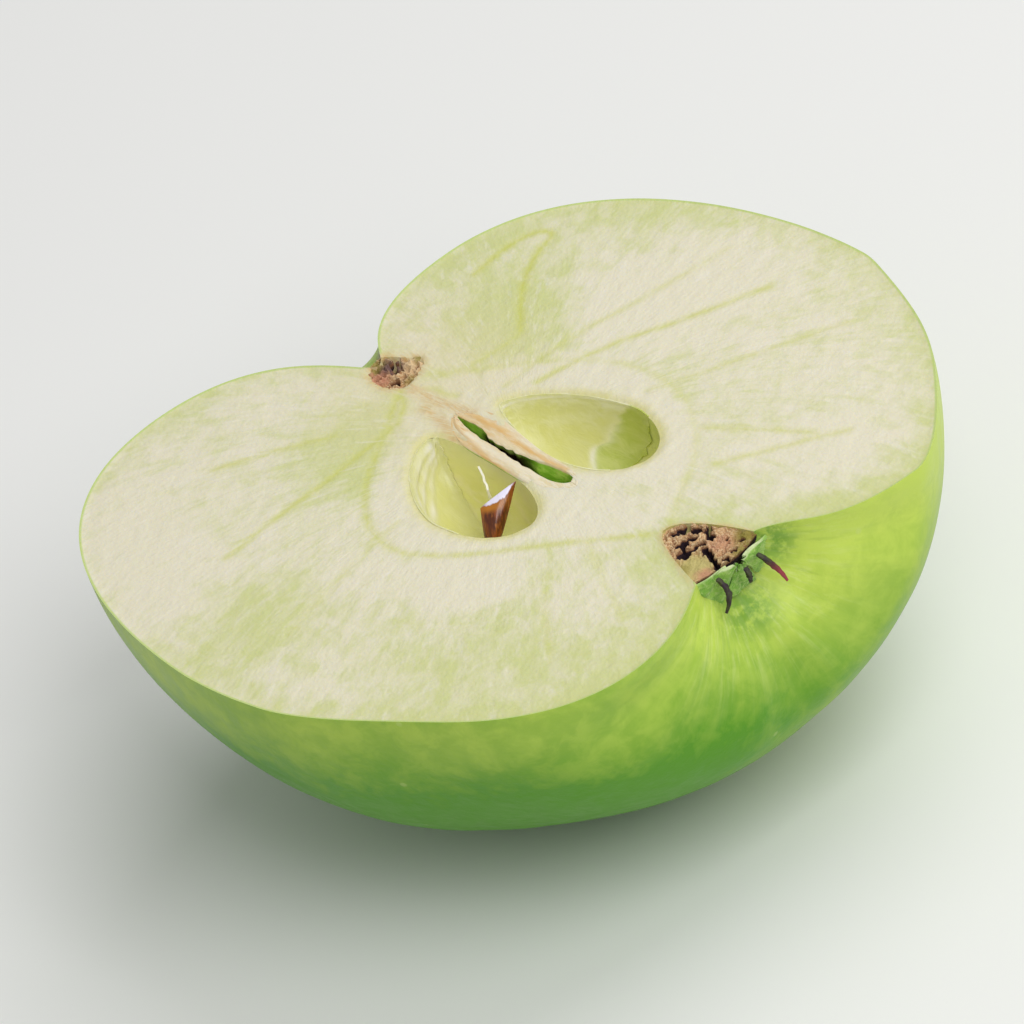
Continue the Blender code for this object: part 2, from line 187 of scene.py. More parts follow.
# Areas of the flesh that are greener (above 0) or creamier (below 0) than the rest, as (middle,
# inner and outer distance, share).
FLESH_AREAS = (
    ((23.0, 6.0), 2.0, 13.0, -0.5), ((-13.8, -9.5), 1.0, 7.0, -0.9), ((-31.6, 2.6), 1.0, 12.0, 0.75),
    ((17.9, -25.4), 1.0, 8.0, -0.35), ((-28.6, 23.1), 1.0, 9.0, -0.3), ((-10.4, -22.5), 1.0, 8.0, -0.35),
    ((2.8, -14.4), 1.0, 6.0, 0.25), ((16.0, 26.0), 2.0, 14.0, 0.35), ((30.0, 15.0), 2.0, 12.0, 0.3),
    ((-1.5, 15.5), 1.0, 8.0, 0.3), ((12.0, 16.0), 1.0, 11.0, 0.75), ((-9.5, 14.5), 1.0, 10.5, 0.75),
    ((1.5, -23.5), 2.0, 7.5, 0.3),
)

# Painted shade in the skin's hollows, a deeper green at the basin and the stem pit: (middle, inner and outer
# distance, share).
SHADED_HOLLOWS = (
    ((2.4, -29.0, 0.0), 3.4, 5.4, 0.5), ((6.3, -30.4, -1.2), 1.2, 3.6, 0.95),
    ((2.0, -32.0, -4.0), 1.6, 4.8, 0.9), ((0.4, 23.5, -2.0), 1.0, 6.0, 0.4),
)

# Browned fibres in the flesh between stem and core, and tan and white lines beside the slit.
TAN_LINES = (
    ((-0.1, 17.0), (-0.1, 15.2), (0.1, 12.6), (0.6, 10.4), (1.0, 8.6)),
    ((-1.2, 13.0), (-1.3, 11.0), (-1.5, 9.4), (-2.2, 7.4), (-2.8, 5.4)),
)
WALL_LINES = {
    "tan": (((-1.5, 9.2), (-2.2, 5.7), (-2.3, 1.6), (-2.5, -2.3)),
            ((0.9, 7.3), (1.1, 4.7), (0.8, 1.2), (0.8, -2.3), (1.1, -5.9))),
    "white": (((-1.1, 6.5), (-1.3, 2.3), (-1.3, -1.6), (-1.1, -4.4)),
              ((3.1, 6.8), (2.4, 5.0), (2.05, 2.0), (2.1, -2.5), (2.6, -5.3), (3.6, -7.5),
               (5.4, -9.1))),
}

# Carpel walls beside the slit: the line of each wall's slit edge and of its outer edge.
SLIT_EDGES = {
    "right": ((-0.02, 9.3), (0.15, 8.0), (0.3, 6.2), (-0.2, 4.2), (-0.35, 3.0), (-0.15, 1.0),
              (0.15, -1.2), (0.45, -2.8), (0.78, -4.6), (0.98, -6.0), (1.02, -7.1), (0.7, -7.5),
              (0.36, -7.6)),
    "left": ((-0.1, 9.3), (-0.5, 7.9), (-0.7, 6.0), (-0.72, 3.6), (-0.75, 1.8), (-0.78, 0.0),
             (-0.78, -2.0), (-0.75, -4.4), (-0.62, -6.0), (-0.25, -7.1), (0.1, -7.5), (0.34, -7.65)),
}
WALL_EDGES = {
    "right": ((0.1, 10.1), (1.6, 9.0), (2.5, 6.6), (2.35, 4.6), (1.85, 1.0), (1.62, -2.0),
              (1.7, -5.0), (1.7, -6.9), (1.1, -8.2), (0.36, -8.8)),
    "left": ((-0.14, 10.1), (-1.6, 8.9), (-2.45, 6.0), (-2.4, 3.3), (-2.3, 0.6), (-2.35, -2.3),
             (-2.2, -5.5), (-1.5, -7.4), (-0.4, -8.5), (0.34, -8.8)),
}
WALL_DEPTH = 3.7
WALL_STEPS = 130

# Steps along each arc of a smooth line, and points in a part of a long table of distances.
BEND_STEPS = 16
CHUNK = 4000

# Linings: the sector of the chamber's wall in degrees, folds as (depth, half width, height, how
# pale the crest is), and the torn line as (depth, bearing in degrees). The thread hangs in the left
# chamber.
RIGHT_LINING = (-12.0, 232.0)
LEFT_LINING = (62.0, 205.0)
RIGHT_FOLDS = ((0.55, 0.14, 0.08, 0.8),)
LEFT_FOLDS = ((1.2, 0.4, 0.2, 0.85), (2.7, 0.5, 0.26, 1.0), (4.2, 0.5, 0.2, 0.65))
RIGHT_TEAR = ((0.3, 8.0), (2.0, 13.0), (3.5, 19.0), (4.6, 25.0), (5.4, 36.0), (6.2, 50.0))
LINING_THICKNESS = 0.12
LOOSE_THREAD = ((-3.0, 2.2, -0.6), (-3.7, 0.8, -0.8), (-4.4, -0.7, -1.1))
THREAD_FOOT = -2.6
THREAD_THICKNESS = 0.2

# Seed: the two ends of its upper facet, its foot, and how thick it is and how much it narrows.
SEED_TIP = (-2.5, -2.75, -0.45)
SEED_CORNER = (-6.5, -2.0, -1.25)
SEED_FOOT = (-7.9, -4.4, -4.5)
SEED_FACET = 0.8
SEED_THICKNESS = 1.8
SEED_TAPER = 0.6

# Stem stub: its outline, its pits as (x, y, radius, depth), and how far the flesh dips round it.
STUB_OUTLINE = ((-1.3, 22.2), (-0.2, 22.85), (0.9, 23.2), (1.5, 22.9), (1.7, 21.9), (2.3, 20.9),
                (3.3, 20.0), (3.4, 19.2), (2.4, 18.1), (0.8, 17.3), (-0.7, 17.3), (-1.5, 18.3),
                (-1.8, 19.8), (-1.7, 21.2))
STUB_CENTRE = (0.5, 20.2)
STUB_DEPTH = 2.3
STUB_PITS = ((1.2, 21.2, 0.75, 1.1), (0.8, 20.1, 0.6, 0.9), (-0.5, 18.9, 0.65, 1.2),
             (0.2, 22.3, 0.5, 0.5), (2.3, 19.0, 0.35, 0.4), (-1.1, 20.7, 0.4, 0.4))
STEM_DIP = 1.5

# Dry flower: the middle of its cut top, its hollows as (x, y, radius, depth), and its open border.
TISSUE_CENTRE = (1.7, -25.6)
TISSUE_DEPTH = 3.2
TISSUE_BORDER = ((-1.6, -28.9), (-0.4, -29.2), (1.2, -29.2), (3.0, -29.2), (4.6, -28.9))
TISSUE_HOLLOWS = (
    (1.5, -21.9, 0.6, 1.0), (2.4, -22.3, 0.75, 1.4), (3.0, -23.3, 0.7, 1.3), (3.6, -24.2, 0.6, 1.1),
    (3.1, -25.1, 0.65, 1.2), (2.1, -23.8, 0.5, 1.4), (0.9, -23.7, 0.8, 1.4), (0.1, -24.9, 0.8, 1.4),
    (1.1, -25.2, 0.55, 1.3), (1.95, -25.2, 0.55, 1.6), (1.75, -25.9, 0.44, 1.8), (1.6, -26.6, 0.44, 1.9),
    (1.4, -27.3, 0.42, 1.9), (1.2, -28.0, 0.4, 1.8), (1.0, -28.6, 0.38, 1.5), (0.8, -29.0, 0.34, 1.2),
    (2.0, -28.8, 0.45, 1.4), (3.2, -28.4, 0.42, 1.1), (4.6, -28.0, 0.4, 0.7), (3.9, -26.7, 0.3, 0.5),
)

# Tints of the dry parts as (middle, inner and outer distance, share, name of the colour).
STUB_TINTS = (
    ((2.6, 19.4, -0.3), 0.6, 2.2, 0.8, "dry_light"), ((3.3, 19.8, -0.3), 0.2, 1.0, 0.8, "dry_olive"),
    ((-1.0, 20.6, -0.3), 0.6, 1.8, 0.8, "dry_pink"), ((0.1, 22.2, -0.4), 0.3, 1.3, 0.9, "dry_olive"),
    ((0.9, 20.9, -0.6), 0.6, 1.7, 0.9, "dry_violet"), ((0.7, 17.6, -0.3), 0.2, 1.2, 0.7, "dry_olive"),
)
TISSUE_TINTS = (
    ((-0.6, -27.4, -0.2), 1.0, 3.0, 0.85, "dry_cream"), ((-0.6, -28.8, -0.2), 0.3, 1.4, 0.8, "dry_pink"),
    ((5.2, -27.8, -0.2), 0.4, 1.9, 0.9, "dry_olive"), ((3.6, -29.2, -0.2), 0.3, 1.5, 0.8, "dry_olive"),
    ((3.2, -26.8, -0.2), 0.3, 2.0, 0.5, "dry_pink"), ((-1.5, -26.5, -0.2), 0.2, 1.2, 0.6, "dry_olive"),
)

# Sepals: each one's bearing in degrees and how far it reaches from their common middle.
SEPALS = {"sepal_left": (150.0, 4.3), "sepal_middle": (91.0, 3.7), "sepal_right": (30.0, 3.6)}
SEPAL_CENTRE_X = 2.4
SEPAL_BASE_Y = -29.2
SEPAL_TIP_RADIUS = 0.7
SEPAL_HALF_ANGLE = 30.0
SEPAL_LIFT = 0.75
SEPAL_THICKNESS = 0.3
HAIR_WIDTH = 0.03

# Withered tips: three stations along each thread, and its radius at them.
DRY_TIPS = {
    "dry_tip_left": ((-0.2, -30.2, -0.35), (0.0, -31.1, -1.7), (-0.9, -31.3, -3.3)),
    "dry_tip_middle": ((2.5, -30.9, -0.6), (2.5, -31.3, -1.2), (2.4, -31.3, -2.0)),
    "dry_tip_right": ((4.2, -30.7, -0.3), (5.0, -31.6, -1.7), (5.6, -32.1, -3.7)),
}
DRY_TIP_RADII = (0.3, 0.4, 0.18)

# Camera: bearing, height and roll in degrees, the point it looks at and its offset in metres. Its
# lens follows from the pixels that a metre takes at the cut face.
VIEW_BEARING = -26.26
VIEW_HEIGHT = 37.45
VIEW_ROLL = -18.91
VIEW_DISTANCE = 0.892
VIEW_SPOT = (0.0, -6.1, 0.0)
VIEW_OFFSET = (-0.00415, -0.00326)
SENSOR = 36.0
PIXELS_PER_METRE = 10910.0
PICTURE_PIXELS = 1024

# Soft lights: bearing, height in degrees, distance and size. The floor reaches this far.
SOFTBOXES = {"key": (4.0, 50.0, 0.75, 0.5), "top": (98.0, 54.0, 0.8, 0.6)}
LIGHT_TARGET = (0.0, 0.0, 0.02)
FLOOR_REACH = 3.0


def tone(red, green, blue):
    """A screen colour of 0 to 255 as the linear colour that a shader takes."""
    share = np.array((red, green, blue)) / 255.0
    return tuple(float(v) for v in np.where(share <= 0.04045, share / 12.92,
                                            ((share + 0.055) / 1.055) ** 2.4))


def place(points):
    """Millimetres from the core line and the cut face to metres in the part's frame."""
    return (np.asarray(points, float) + (CORE_X, 0.0, CUT_Z)) * MM


def ripple(points, seed, low, high, count=28):
    """Soft seeded noise, about -1 to 1: a sum of plane waves of low to high turns per millimetre."""
    rng = np.random.default_rng(seed)
    points = np.asarray(points, float)
    heading = rng.normal(size=(count, points.shape[-1]))
    heading /= np.linalg.norm(heading, axis=1)[:, None]
    turns = rng.uniform(low, high, count)[:, None]
    phase = rng.uniform(0, 2 * pi, count)
    flat = points.reshape(-1, points.shape[-1])
    waves = np.cos(2 * pi * flat @ (heading * turns).T + phase).sum(-1) / count**0.5
    return waves.reshape(points.shape[:-1])


def spots(*coordinates):
    """Points from coordinates whose grids fit each other."""
    return np.stack(np.broadcast_arrays(*coordinates), -1)


def smooth_step(value, start, end):
    """0 at start, 1 at end, level at both."""
    t = np.clip((value - start) / (end - start), 0.0, 1.0)
    return t * t * (3 - 2 * t)


def curve_arc(start, start_pull, end_pull, end, t):
    """A cubic curve from start to end, drawn towards the two pull points, at the shares t."""
    t = t[:, None]
    s = 1.0 - t
    return (s**3 * np.array(start) + 3 * s * s * t * np.array(start_pull)
            + 3 * s * t * t * np.array(end_pull) + t**3 * np.array(end))


def even_steps(line, count, closed=False):
    """A line read at count even steps of its length."""
    way = np.concatenate([[0.0], np.cumsum(np.linalg.norm(np.diff(line, axis=0), axis=1))])
    steps = np.linspace(0, way[-1], count, endpoint=not closed)
    return np.column_stack([np.interp(steps, way, values) for values in line.T])


def joined(loop):
    """A loop with its first point once more at its end."""
    return np.concatenate([loop, loop[:1]])


def bend(points, count=60, closed=False):
    """A smooth line near a few set points: quadratic arcs between the middles of their stretches,
    read at count even steps of its length."""
    points = np.asarray(points, float)
    t = np.linspace(0, 1, BEND_STEPS, endpoint=False)[:, None]
    if closed:
        before, after = np.roll(points, 1, axis=0), np.roll(points, -1, axis=0)
        pulls, starts, ends = points, (before + points) / 2, (points + after) / 2
    else:
        pulls = points[1:-1]
        middles = (points[1:-2] + points[2:-1]) / 2
        starts = np.concatenate([points[:1], middles])
        ends = np.concatenate([middles, points[-1:]])
    line = np.concatenate([(1 - t) ** 2 * a + 2 * t * (1 - t) * b + t * t * c
                           for a, b, c in zip(starts, pulls, ends)])
    return even_steps(np.concatenate([line, line[:1] if closed else ends[-1:]]), count, closed)


def chunks(points):
    """Numbers of the points in parts, which keep the tables of distances small."""
    return np.array_split(np.arange(len(points)), max(1, len(points) // CHUNK))


def distance_to(points, line):
    """Distance of each point to the nearest stretch of a line of points."""
    start, step = line[:-1], np.diff(line, axis=0)
    length = (step**2).sum(1) + 1e-12
    near = np.full(len(points), np.inf)
    for chunk in chunks(points):
        gap = points[chunk][:, None] - start
        along = np.clip((gap * step).sum(-1) / length, 0, 1)
        near[chunk] = np.sqrt(((gap - along[..., None] * step) ** 2).sum(-1).min(1))
    return near


def near_line(points, line, reach):
    """Distance of each point to a line, or the reach where the point lies further off."""
    close = ((points > line.min(0) - reach) & (points < line.max(0) + reach)).all(axis=1)
    away = np.full(len(points), float(reach))
    away[close] = np.minimum(distance_to(points[close], line), reach)
    return away


def line_mark(points, lines, width):
    """How close each point is to the nearest of some lines: 1 on a line, 0 beyond its width."""
    near = [near_line(points, bend(line), 3 * width) for line in lines]
    return np.exp(-(np.min(near, axis=0) / width) ** 2)


def mark(points, line, reach, width):
    """1 on a line, falling as a bell curve of the given width, and level beyond the reach."""
    return np.exp(-(near_line(points, line, reach) / width) ** 2)


def inside(points, loop):
    """Whether each point lies inside a closed loop, by counting crossings to its right."""
    a, b = loop, np.roll(loop, -1, axis=0)
    rise = np.where(b[:, 1] == a[:, 1], 1e-12, b[:, 1] - a[:, 1])
    held = np.zeros(len(points), bool)
    for chunk in chunks(points):
        x, y = points[chunk, 0][:, None], points[chunk, 1][:, None]
        spans = (a[:, 1] > y) != (b[:, 1] > y)
        crossing = a[:, 0] + (y - a[:, 1]) * (b[:, 0] - a[:, 0]) / rise
        held[chunk] = (spans & (x < crossing)).sum(1) % 2 == 1
    return held


def grid_faces(rows, columns, closed=False):
    """Four-sided faces between neighbouring points of a grid, closed across its columns or open."""
    index = np.arange(rows * columns).reshape(rows, columns)
    here, there = (index, np.roll(index, -1, axis=1)) if closed else (index[:, :-1], index[:, 1:])
    return np.stack([here[:-1], there[:-1], there[1:], here[1:]], -1).reshape(-1, 4)


def fan_faces(ring, point):
    """Triangles from a closed ring of point numbers to one point."""
    return np.column_stack([ring, np.roll(ring, -1), np.full(len(ring), point)])


def end_fans(around, last):
    """Triangles that close a stack of rings by the two points that follow its last one."""
    return np.concatenate([fan_faces(np.arange(around), last),
                           fan_faces(np.arange(last - around, last), last + 1)])


def grid_normals(rows):
    """Unit normals of a grid of points, from its steps down the rows and across the columns."""
    normal = np.cross(np.gradient(rows, axis=0), np.gradient(rows, axis=1))
    return normal / (np.linalg.norm(normal, axis=-1)[..., None] + 1e-12)


def turn_shells(mesh, shape, kinds):
    """Reverse the shells of each finish whose volume comes out below zero."""
    centre, normal = np.empty((2, len(mesh.polygons), 3))
    area, kind_of = np.empty((2, len(mesh.polygons)))
    for key, values in (("center", centre), ("normal", normal), ("area", area),
                        ("material_index", kind_of)):
        mesh.polygons.foreach_get(key, values.ravel())
    volume = ((centre - centre.mean(axis=0)) * normal).sum(axis=1) * area
    for kind in range(kinds):
        if volume[kind_of == kind].sum() < 0:
            turned = [face for face in shape.faces if face.material_index == kind]
            bmesh.ops.reverse_faces(shape, faces=turned)
    shape.to_mesh(mesh)


def make_piece(name, points, face_sets, finishes, nodes, sharp=SHARP_ANGLE, marks=None,
               top=PIECE_TOP, shells=False):
    """An object from points in millimetres and arrays of faces, each array with its finish's
    number, and from numbers for each point. Nothing rises above the top. Doubles are merged,
    faces turned outwards and edges above an angle kept sharp. With shells, each finish covers
    closed shells of its own, which are turned round where their volume comes out below zero."""
    points = np.array(points, float)
    points[:, 2] = np.minimum(points[:, 2], top)
    mesh = bpy.data.meshes.new(name)
    mesh.vertices.add(len(points))
    mesh.vertices.foreach_set("co", place(points).astype(np.float32).ravel())
    corners = np.concatenate([faces.ravel() for faces, _ in face_sets])
    sizes = np.concatenate([np.full(len(faces), faces.shape[1]) for faces, _ in face_sets])
    kinds = np.concatenate([np.full(len(faces), kind) for faces, kind in face_sets])
    mesh.loops.add(len(corners))
    mesh.loops.foreach_set("vertex_index", corners.astype(np.int32))
    mesh.polygons.add(len(sizes))
    mesh.polygons.foreach_set("loop_start", (np.cumsum(sizes) - sizes).astype(np.int32))
    mesh.polygons.foreach_set("material_index", kinds.astype(np.int32))
    for mark_name, values in (marks or {}).items():
        layer = mesh.attributes.new(mark_name, "FLOAT", "POINT")
        layer.data.foreach_set("value", np.asarray(values, np.float32))
    mesh.update(calc_edges=True)
    shape = bmesh.new()
    shape.from_mesh(mesh)
    bmesh.ops.remove_doubles(shape, verts=shape.verts, dist=MERGE_DISTANCE)
    bmesh.ops.recalc_face_normals(shape, faces=shape.faces)
    shape.to_mesh(mesh)
    if shells:
        turn_shells(mesh, shape, len(finishes))
    shape.free()
    for finish in finishes:
        mesh.materials.append(finish)
    mesh.shade_smooth()
    mesh.set_sharp_from_angle(angle=radians(sharp))
    made = bpy.data.objects.new(name, mesh)
    bpy.context.scene.collection.objects.link(made)
    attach(made, BODY)
    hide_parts(*nodes)
    return made


# Shapes


def lobe_outline(lobe):
    """Points (radius, y) from the stem pit over shoulder, cheek and crown to the lip of the bell,
    then up the bell, whose radius is the lip's times a power of the way that is left."""
    shoulder_r, shoulder_y = lobe["shoulder"]
    cheek_r, cheek_y = lobe["cheek"]
    crown_r, crown_y = lobe["crown"]
    arcs = (
        ((0.0, STEM_PIT_Y), (1.6, STEM_PIT_Y),
         (shoulder_r * (1 - lobe["pit_wall"]), shoulder_y), lobe["shoulder"]),
        (lobe["shoulder"], (shoulder_r + lobe["shoulder_fullness"] * (cheek_r - shoulder_r), shoulder_y),
         (cheek_r, cheek_y + lobe["upper_cheek"] * (shoulder_y - cheek_y)), lobe["cheek"]),
        (lobe["cheek"], (cheek_r, cheek_y + lobe["lower_cheek"] * (crown_y - cheek_y)),
         (crown_r + lobe["heel"] * (cheek_r - crown_r), crown_y), lobe["crown"]),
        (lobe["crown"], (crown_r * (1 - lobe["crown_fullness"]), crown_y),
         (crown_r * lobe["basin_wall"], BASIN_Y), (0.0, BASIN_Y)),
    )
    pieces = [curve_arc(*arc, np.linspace(0, 1, steps, endpoint=False))
              for arc, steps in zip(arcs[:3], ARC_STEPS)]
    dense_t = np.linspace(0, 1, 400)
    dense = curve_arc(*arcs[3], dense_t)
    lip_t = np.interp(-BELL_LIP_R, -dense[:, 0], dense_t)
    pieces.append(curve_arc(*arcs[3], np.linspace(0, lip_t, ARC_STEPS[3], endpoint=False)))
    lip = curve_arc(*arcs[3], np.array([lip_t]))[0]
    way = np.sin(np.linspace(0, pi / 2, BELL_STEPS))
    pieces.append(np.column_stack([lip[0] * (1 - way) ** BELL_POWER,
                                   lip[1] + (BELL_APEX[1] - lip[1]) * way]))
    return np.concatenate(pieces)


def apple_skin(wrinkle_depth):
    """Grid of points over the skin and the bell. Down the rows runs the outline; across the
    columns goes the turn from the right lobe (0) under the apple to the left lobe (half a round).

    At a turn the outline is the mean of both lobes, weighted by the squared cosine of half the
    turn, and its depth is the sine of the turn times a fixed share. Five narrow folds and finer
    wrinkles run over the calyx end, and soft waves cover the whole."""
    right, left = lobe_outline(RIGHT_LOBE), lobe_outline(LEFT_LOBE)
    stations = len(right)
    turn = np.linspace(0, pi, TURN_STEPS + 1)[None, :]
    share = np.cos(turn / 2) ** 2
    radius = share * right[:, :1] + (1 - share) * left[:, :1]
    y = share * right[:, 1:] + (1 - share) * left[:, 1:]
    number = np.arange(stations)[:, None]
    bell = number >= stations - BELL_STEPS
    low, high = FOLD_REACH
    middle = (low + high) / 2
    band = smooth_step(radius, low, middle) * smooth_step(radius, high, middle)
    fold = FOLD_DEPTH * band * np.maximum(0.0, np.sin(FOLD_COUNT * turn)) ** 2
    calyx_end = (y < 0) & ~bell
    y = y + np.where(calyx_end, fold, 0.0)
    up_bell = np.clip((number - (stations - BELL_STEPS)) / (BELL_STEPS - 1), 0, 1)
    shift = np.where(bell, CALYX_SHIFT + (BELL_APEX[0] - CALYX_SHIFT) * up_bell,
                     CALYX_SHIFT * smooth_step(y, *SHIFT_Y))
    points = np.stack([radius * np.cos(turn) + shift, y,
                       -DEPTH_SHARE * radius * np.sin(turn)], axis=-1)

    normal = grid_normals(points)
    cheek = ARC_STEPS[0] + ARC_STEPS[1]
    if (normal[cheek, TURN_STEPS // 2] * points[cheek, TURN_STEPS // 2])[2] < 0:
        normal = -normal
    waves = sum(depth * (1 + ripple(points, *noise)) for depth, *noise in SKIN_WAVES)
    wrinkle_band = smooth_step(radius, *WRINKLES_RISE) * smooth_step(radius, *WRINKLES_FALL) * calyx_end
    wrinkles = ripple(spots(turn * 5.5, radius * 0.07), 8, 0.35, 1.0)
    dent = waves + wrinkle_depth * wrinkle_band * np.clip(1 + wrinkles, 0, 2)
    dent = SKIN_DROP + dent * np.where(bell, 0.2, 1.0) * (0.3 + 0.7 * np.sin(turn))
    dent[0] = dent[-1] = 0.0
    points = points - normal * dent[..., None]
    points[:, [0, -1], 2] = 0.0
    points[..., 2] = np.maximum(points[..., 2], -CUT_Z)
    return points, stations


def chamber_mouth(chamber, angles):
    """Four quarter ovals of their own powers through the chamber's four extreme points."""
    top, outer, foot, inner = (np.array(chamber[key]) for key in ("top", "outer", "foot", "inner"))
    powers = (chamber["outer_power"], chamber["inner_power"])
    right, left = outer, inner
    if outer[0] < inner[0]:
        right, left, powers = inner, outer, powers[::-1]
    across, along = np.cos(angles), np.sin(angles)
    side = np.where((across >= 0)[:, None], right, left)
    end = np.where((along >= 0)[:, None], top, foot)
    power = np.where(along < 0, 2.0, np.where(across >= 0, *powers))
    size = (np.abs(across) ** power + np.abs(along) ** power) ** (-1 / power)
    return np.column_stack([end[:, 0] + (side[:, 0] - end[:, 0]) * np.abs(across) * size,
                            side[:, 1] + (end[:, 1] - side[:, 1]) * np.abs(along) * size])


def chamber_centre(chamber):
    """Mean of the chamber's four extreme points."""
    return np.mean([chamber[key] for key in ("top", "outer", "foot", "inner")], axis=0)


def bowl_level(level):
    """Share of the mouth's size, and of the depth, at a level from 0, the rim, to 1, the bottom."""
    depth = np.sin(np.asarray(level) * pi / 2)
    return (1 - depth**BOWL_POWER) ** (1 / BOWL_POWER), depth


def hole_outline(chamber, count):
    """A chamber's mouth read at even steps of its length."""
    mouth = chamber_mouth(chamber, np.linspace(0, 2 * pi, 720, endpoint=False))
    return even_steps(joined(mouth), count, closed=True)


def bowl(mouth, centre, depth, ridge):
    """Rings from a hole's mouth down to its bottom: each is the mouth drawn towards the centre by
    an oval of the depth, with low ridges along the wall. Returns points and faces."""
    level = np.linspace(0, 1, BOWL_RINGS + 1)[1:-1]
    size, fall = bowl_level(level)
    ring = centre + (mouth[None, :, :2] - centre) * size[:, None, None]
    height = np.broadcast_to(mouth[:, 2] * (1 - fall[:, None]) - (fall * depth)[:, None],
                             ring.shape[:2])
    points = np.concatenate([ring, height[..., None]], axis=-1)
    spread = np.linalg.norm(ring - centre, axis=-1, keepdims=True) + 1e-9
    wobble = ripple(points * (1.0, 0.3, 1.0), 31, 0.12, 0.4)
    points[..., :2] += (centre - ring) / spread * (ridge * wobble * fall[:, None])[..., None]
    rings = np.concatenate([mouth[None], points])
    count = len(mouth)
    bottom = rings.shape[0] * count
    faces = grid_faces(rings.shape[0], count, closed=True)
    fan = fan_faces(np.arange(bottom - count, bottom), bottom)
    return np.concatenate([rings.reshape(-1, 3), [[*centre, -depth]]]), faces, fan


def face_height(points, rim):
    """Height of the cut face below its plane: a soft grain, grooves along the bundles, a soft fall
    to the chambers, a dip under the stem, and a level that rises to the plane at the skin."""
    grain = 0.022 * ripple(points, 21, 0.3, 0.9) + 0.02 * ripple(points, 22, 0.04, 0.14)
    groove = np.zeros(len(points))
    for strength, line in VEINS:
        groove = np.maximum(groove, strength * mark(points, bend(line), 1.5, VEIN_WIDTH))
    fall = np.zeros(len(points))
    for chamber in (RIGHT_CHAMBER, LEFT_CHAMBER):
        mouth = chamber_mouth(chamber, np.linspace(0, 2 * pi, 121))
        fall = np.maximum(fall, CHAMBER_FALL * mark(points, mouth, 1.5, CHAMBER_FALL_WIDTH))
    stub = bend(STUB_OUTLINE, 80, closed=True)
    within = near_line(points, joined(stub), 3.0) * inside(points, stub)
    dip = STEM_DIP * smooth_step(within, 0.1, 0.6) * (rim > 0.08)
    level = smooth_step(rim, 0.0, 0.5)
    grain = np.clip(grain, -GRAIN_LIMIT, GRAIN_LIMIT)
    return level * (-RIM_DROP + grain - GROOVE_DEPTH * groove - fall) - dip


def cut_face(outline, holes):
    """Flat points and triangles over the cut face between its outline and its holes.

    The points are a six-sided lattice, close together round the core and wider towards the skin,
    with more along every bundle."""
    lattice, spacing = [], []
    for step, reach in ((FLESH_SPACING, FLESH_REACH), (CORE_SPACING, CORE_REACH + 0.5)):
        x, y = np.meshgrid(np.arange(-reach, reach, step), np.arange(-reach, reach, step * ROW_SHARE))
        x[1::2] += step / 2
        flat = np.column_stack([x.ravel(), y.ravel()])
        core = np.abs(flat).max(axis=1) < CORE_REACH
        flat = flat[core if step == CORE_SPACING else ~core]
        lattice.append(flat)
        spacing.append(np.full(len(flat), step))
    lattice, spacing = np.concatenate(lattice), np.concatenate(spacing)
    lines = [bend(points, 70) for _, points in VEINS]
    keep = inside(lattice, outline)
    lattice, spacing = lattice[keep], spacing[keep]
    keep = distance_to(lattice, np.concatenate([outline[::2], outline[:1]])) > CLEAR_OF_RIM * spacing
    within = np.abs(lattice).max(axis=1) < CORE_REACH
    for hole in holes:
        keep &= near_line(lattice, joined(hole), 0.5) > CLEAR_OF_HOLE * spacing
        keep[within] &= ~inside(lattice[within], hole)
    for line in lines:
        keep &= near_line(lattice, line, 0.5) > CLEAR_OF_BUNDLE * spacing
    on_lines = np.concatenate([line[inside(line, outline)] for line in lines])
    points = np.concatenate([outline, *holes, lattice[keep], on_lines])
    edges, first = [], 0
    for loop in (outline, *holes):
        index = np.arange(len(loop)) + first
        edges += np.column_stack([index, np.roll(index, -1)]).tolist()
        first += len(loop)
    made = delaunay_2d_cdt([Vector(p) for p in points], edges, [], 0, 1e-6, False)
    points = np.array([tuple(p) for p in made[0]])
    triangles = np.array([face for face in made[2] if len(face) == 3])
    middle = points[triangles].mean(axis=1)
    keep = inside(middle, outline)
    for hole in holes:
        keep &= ~inside(middle, hole)
    return points, triangles[keep]


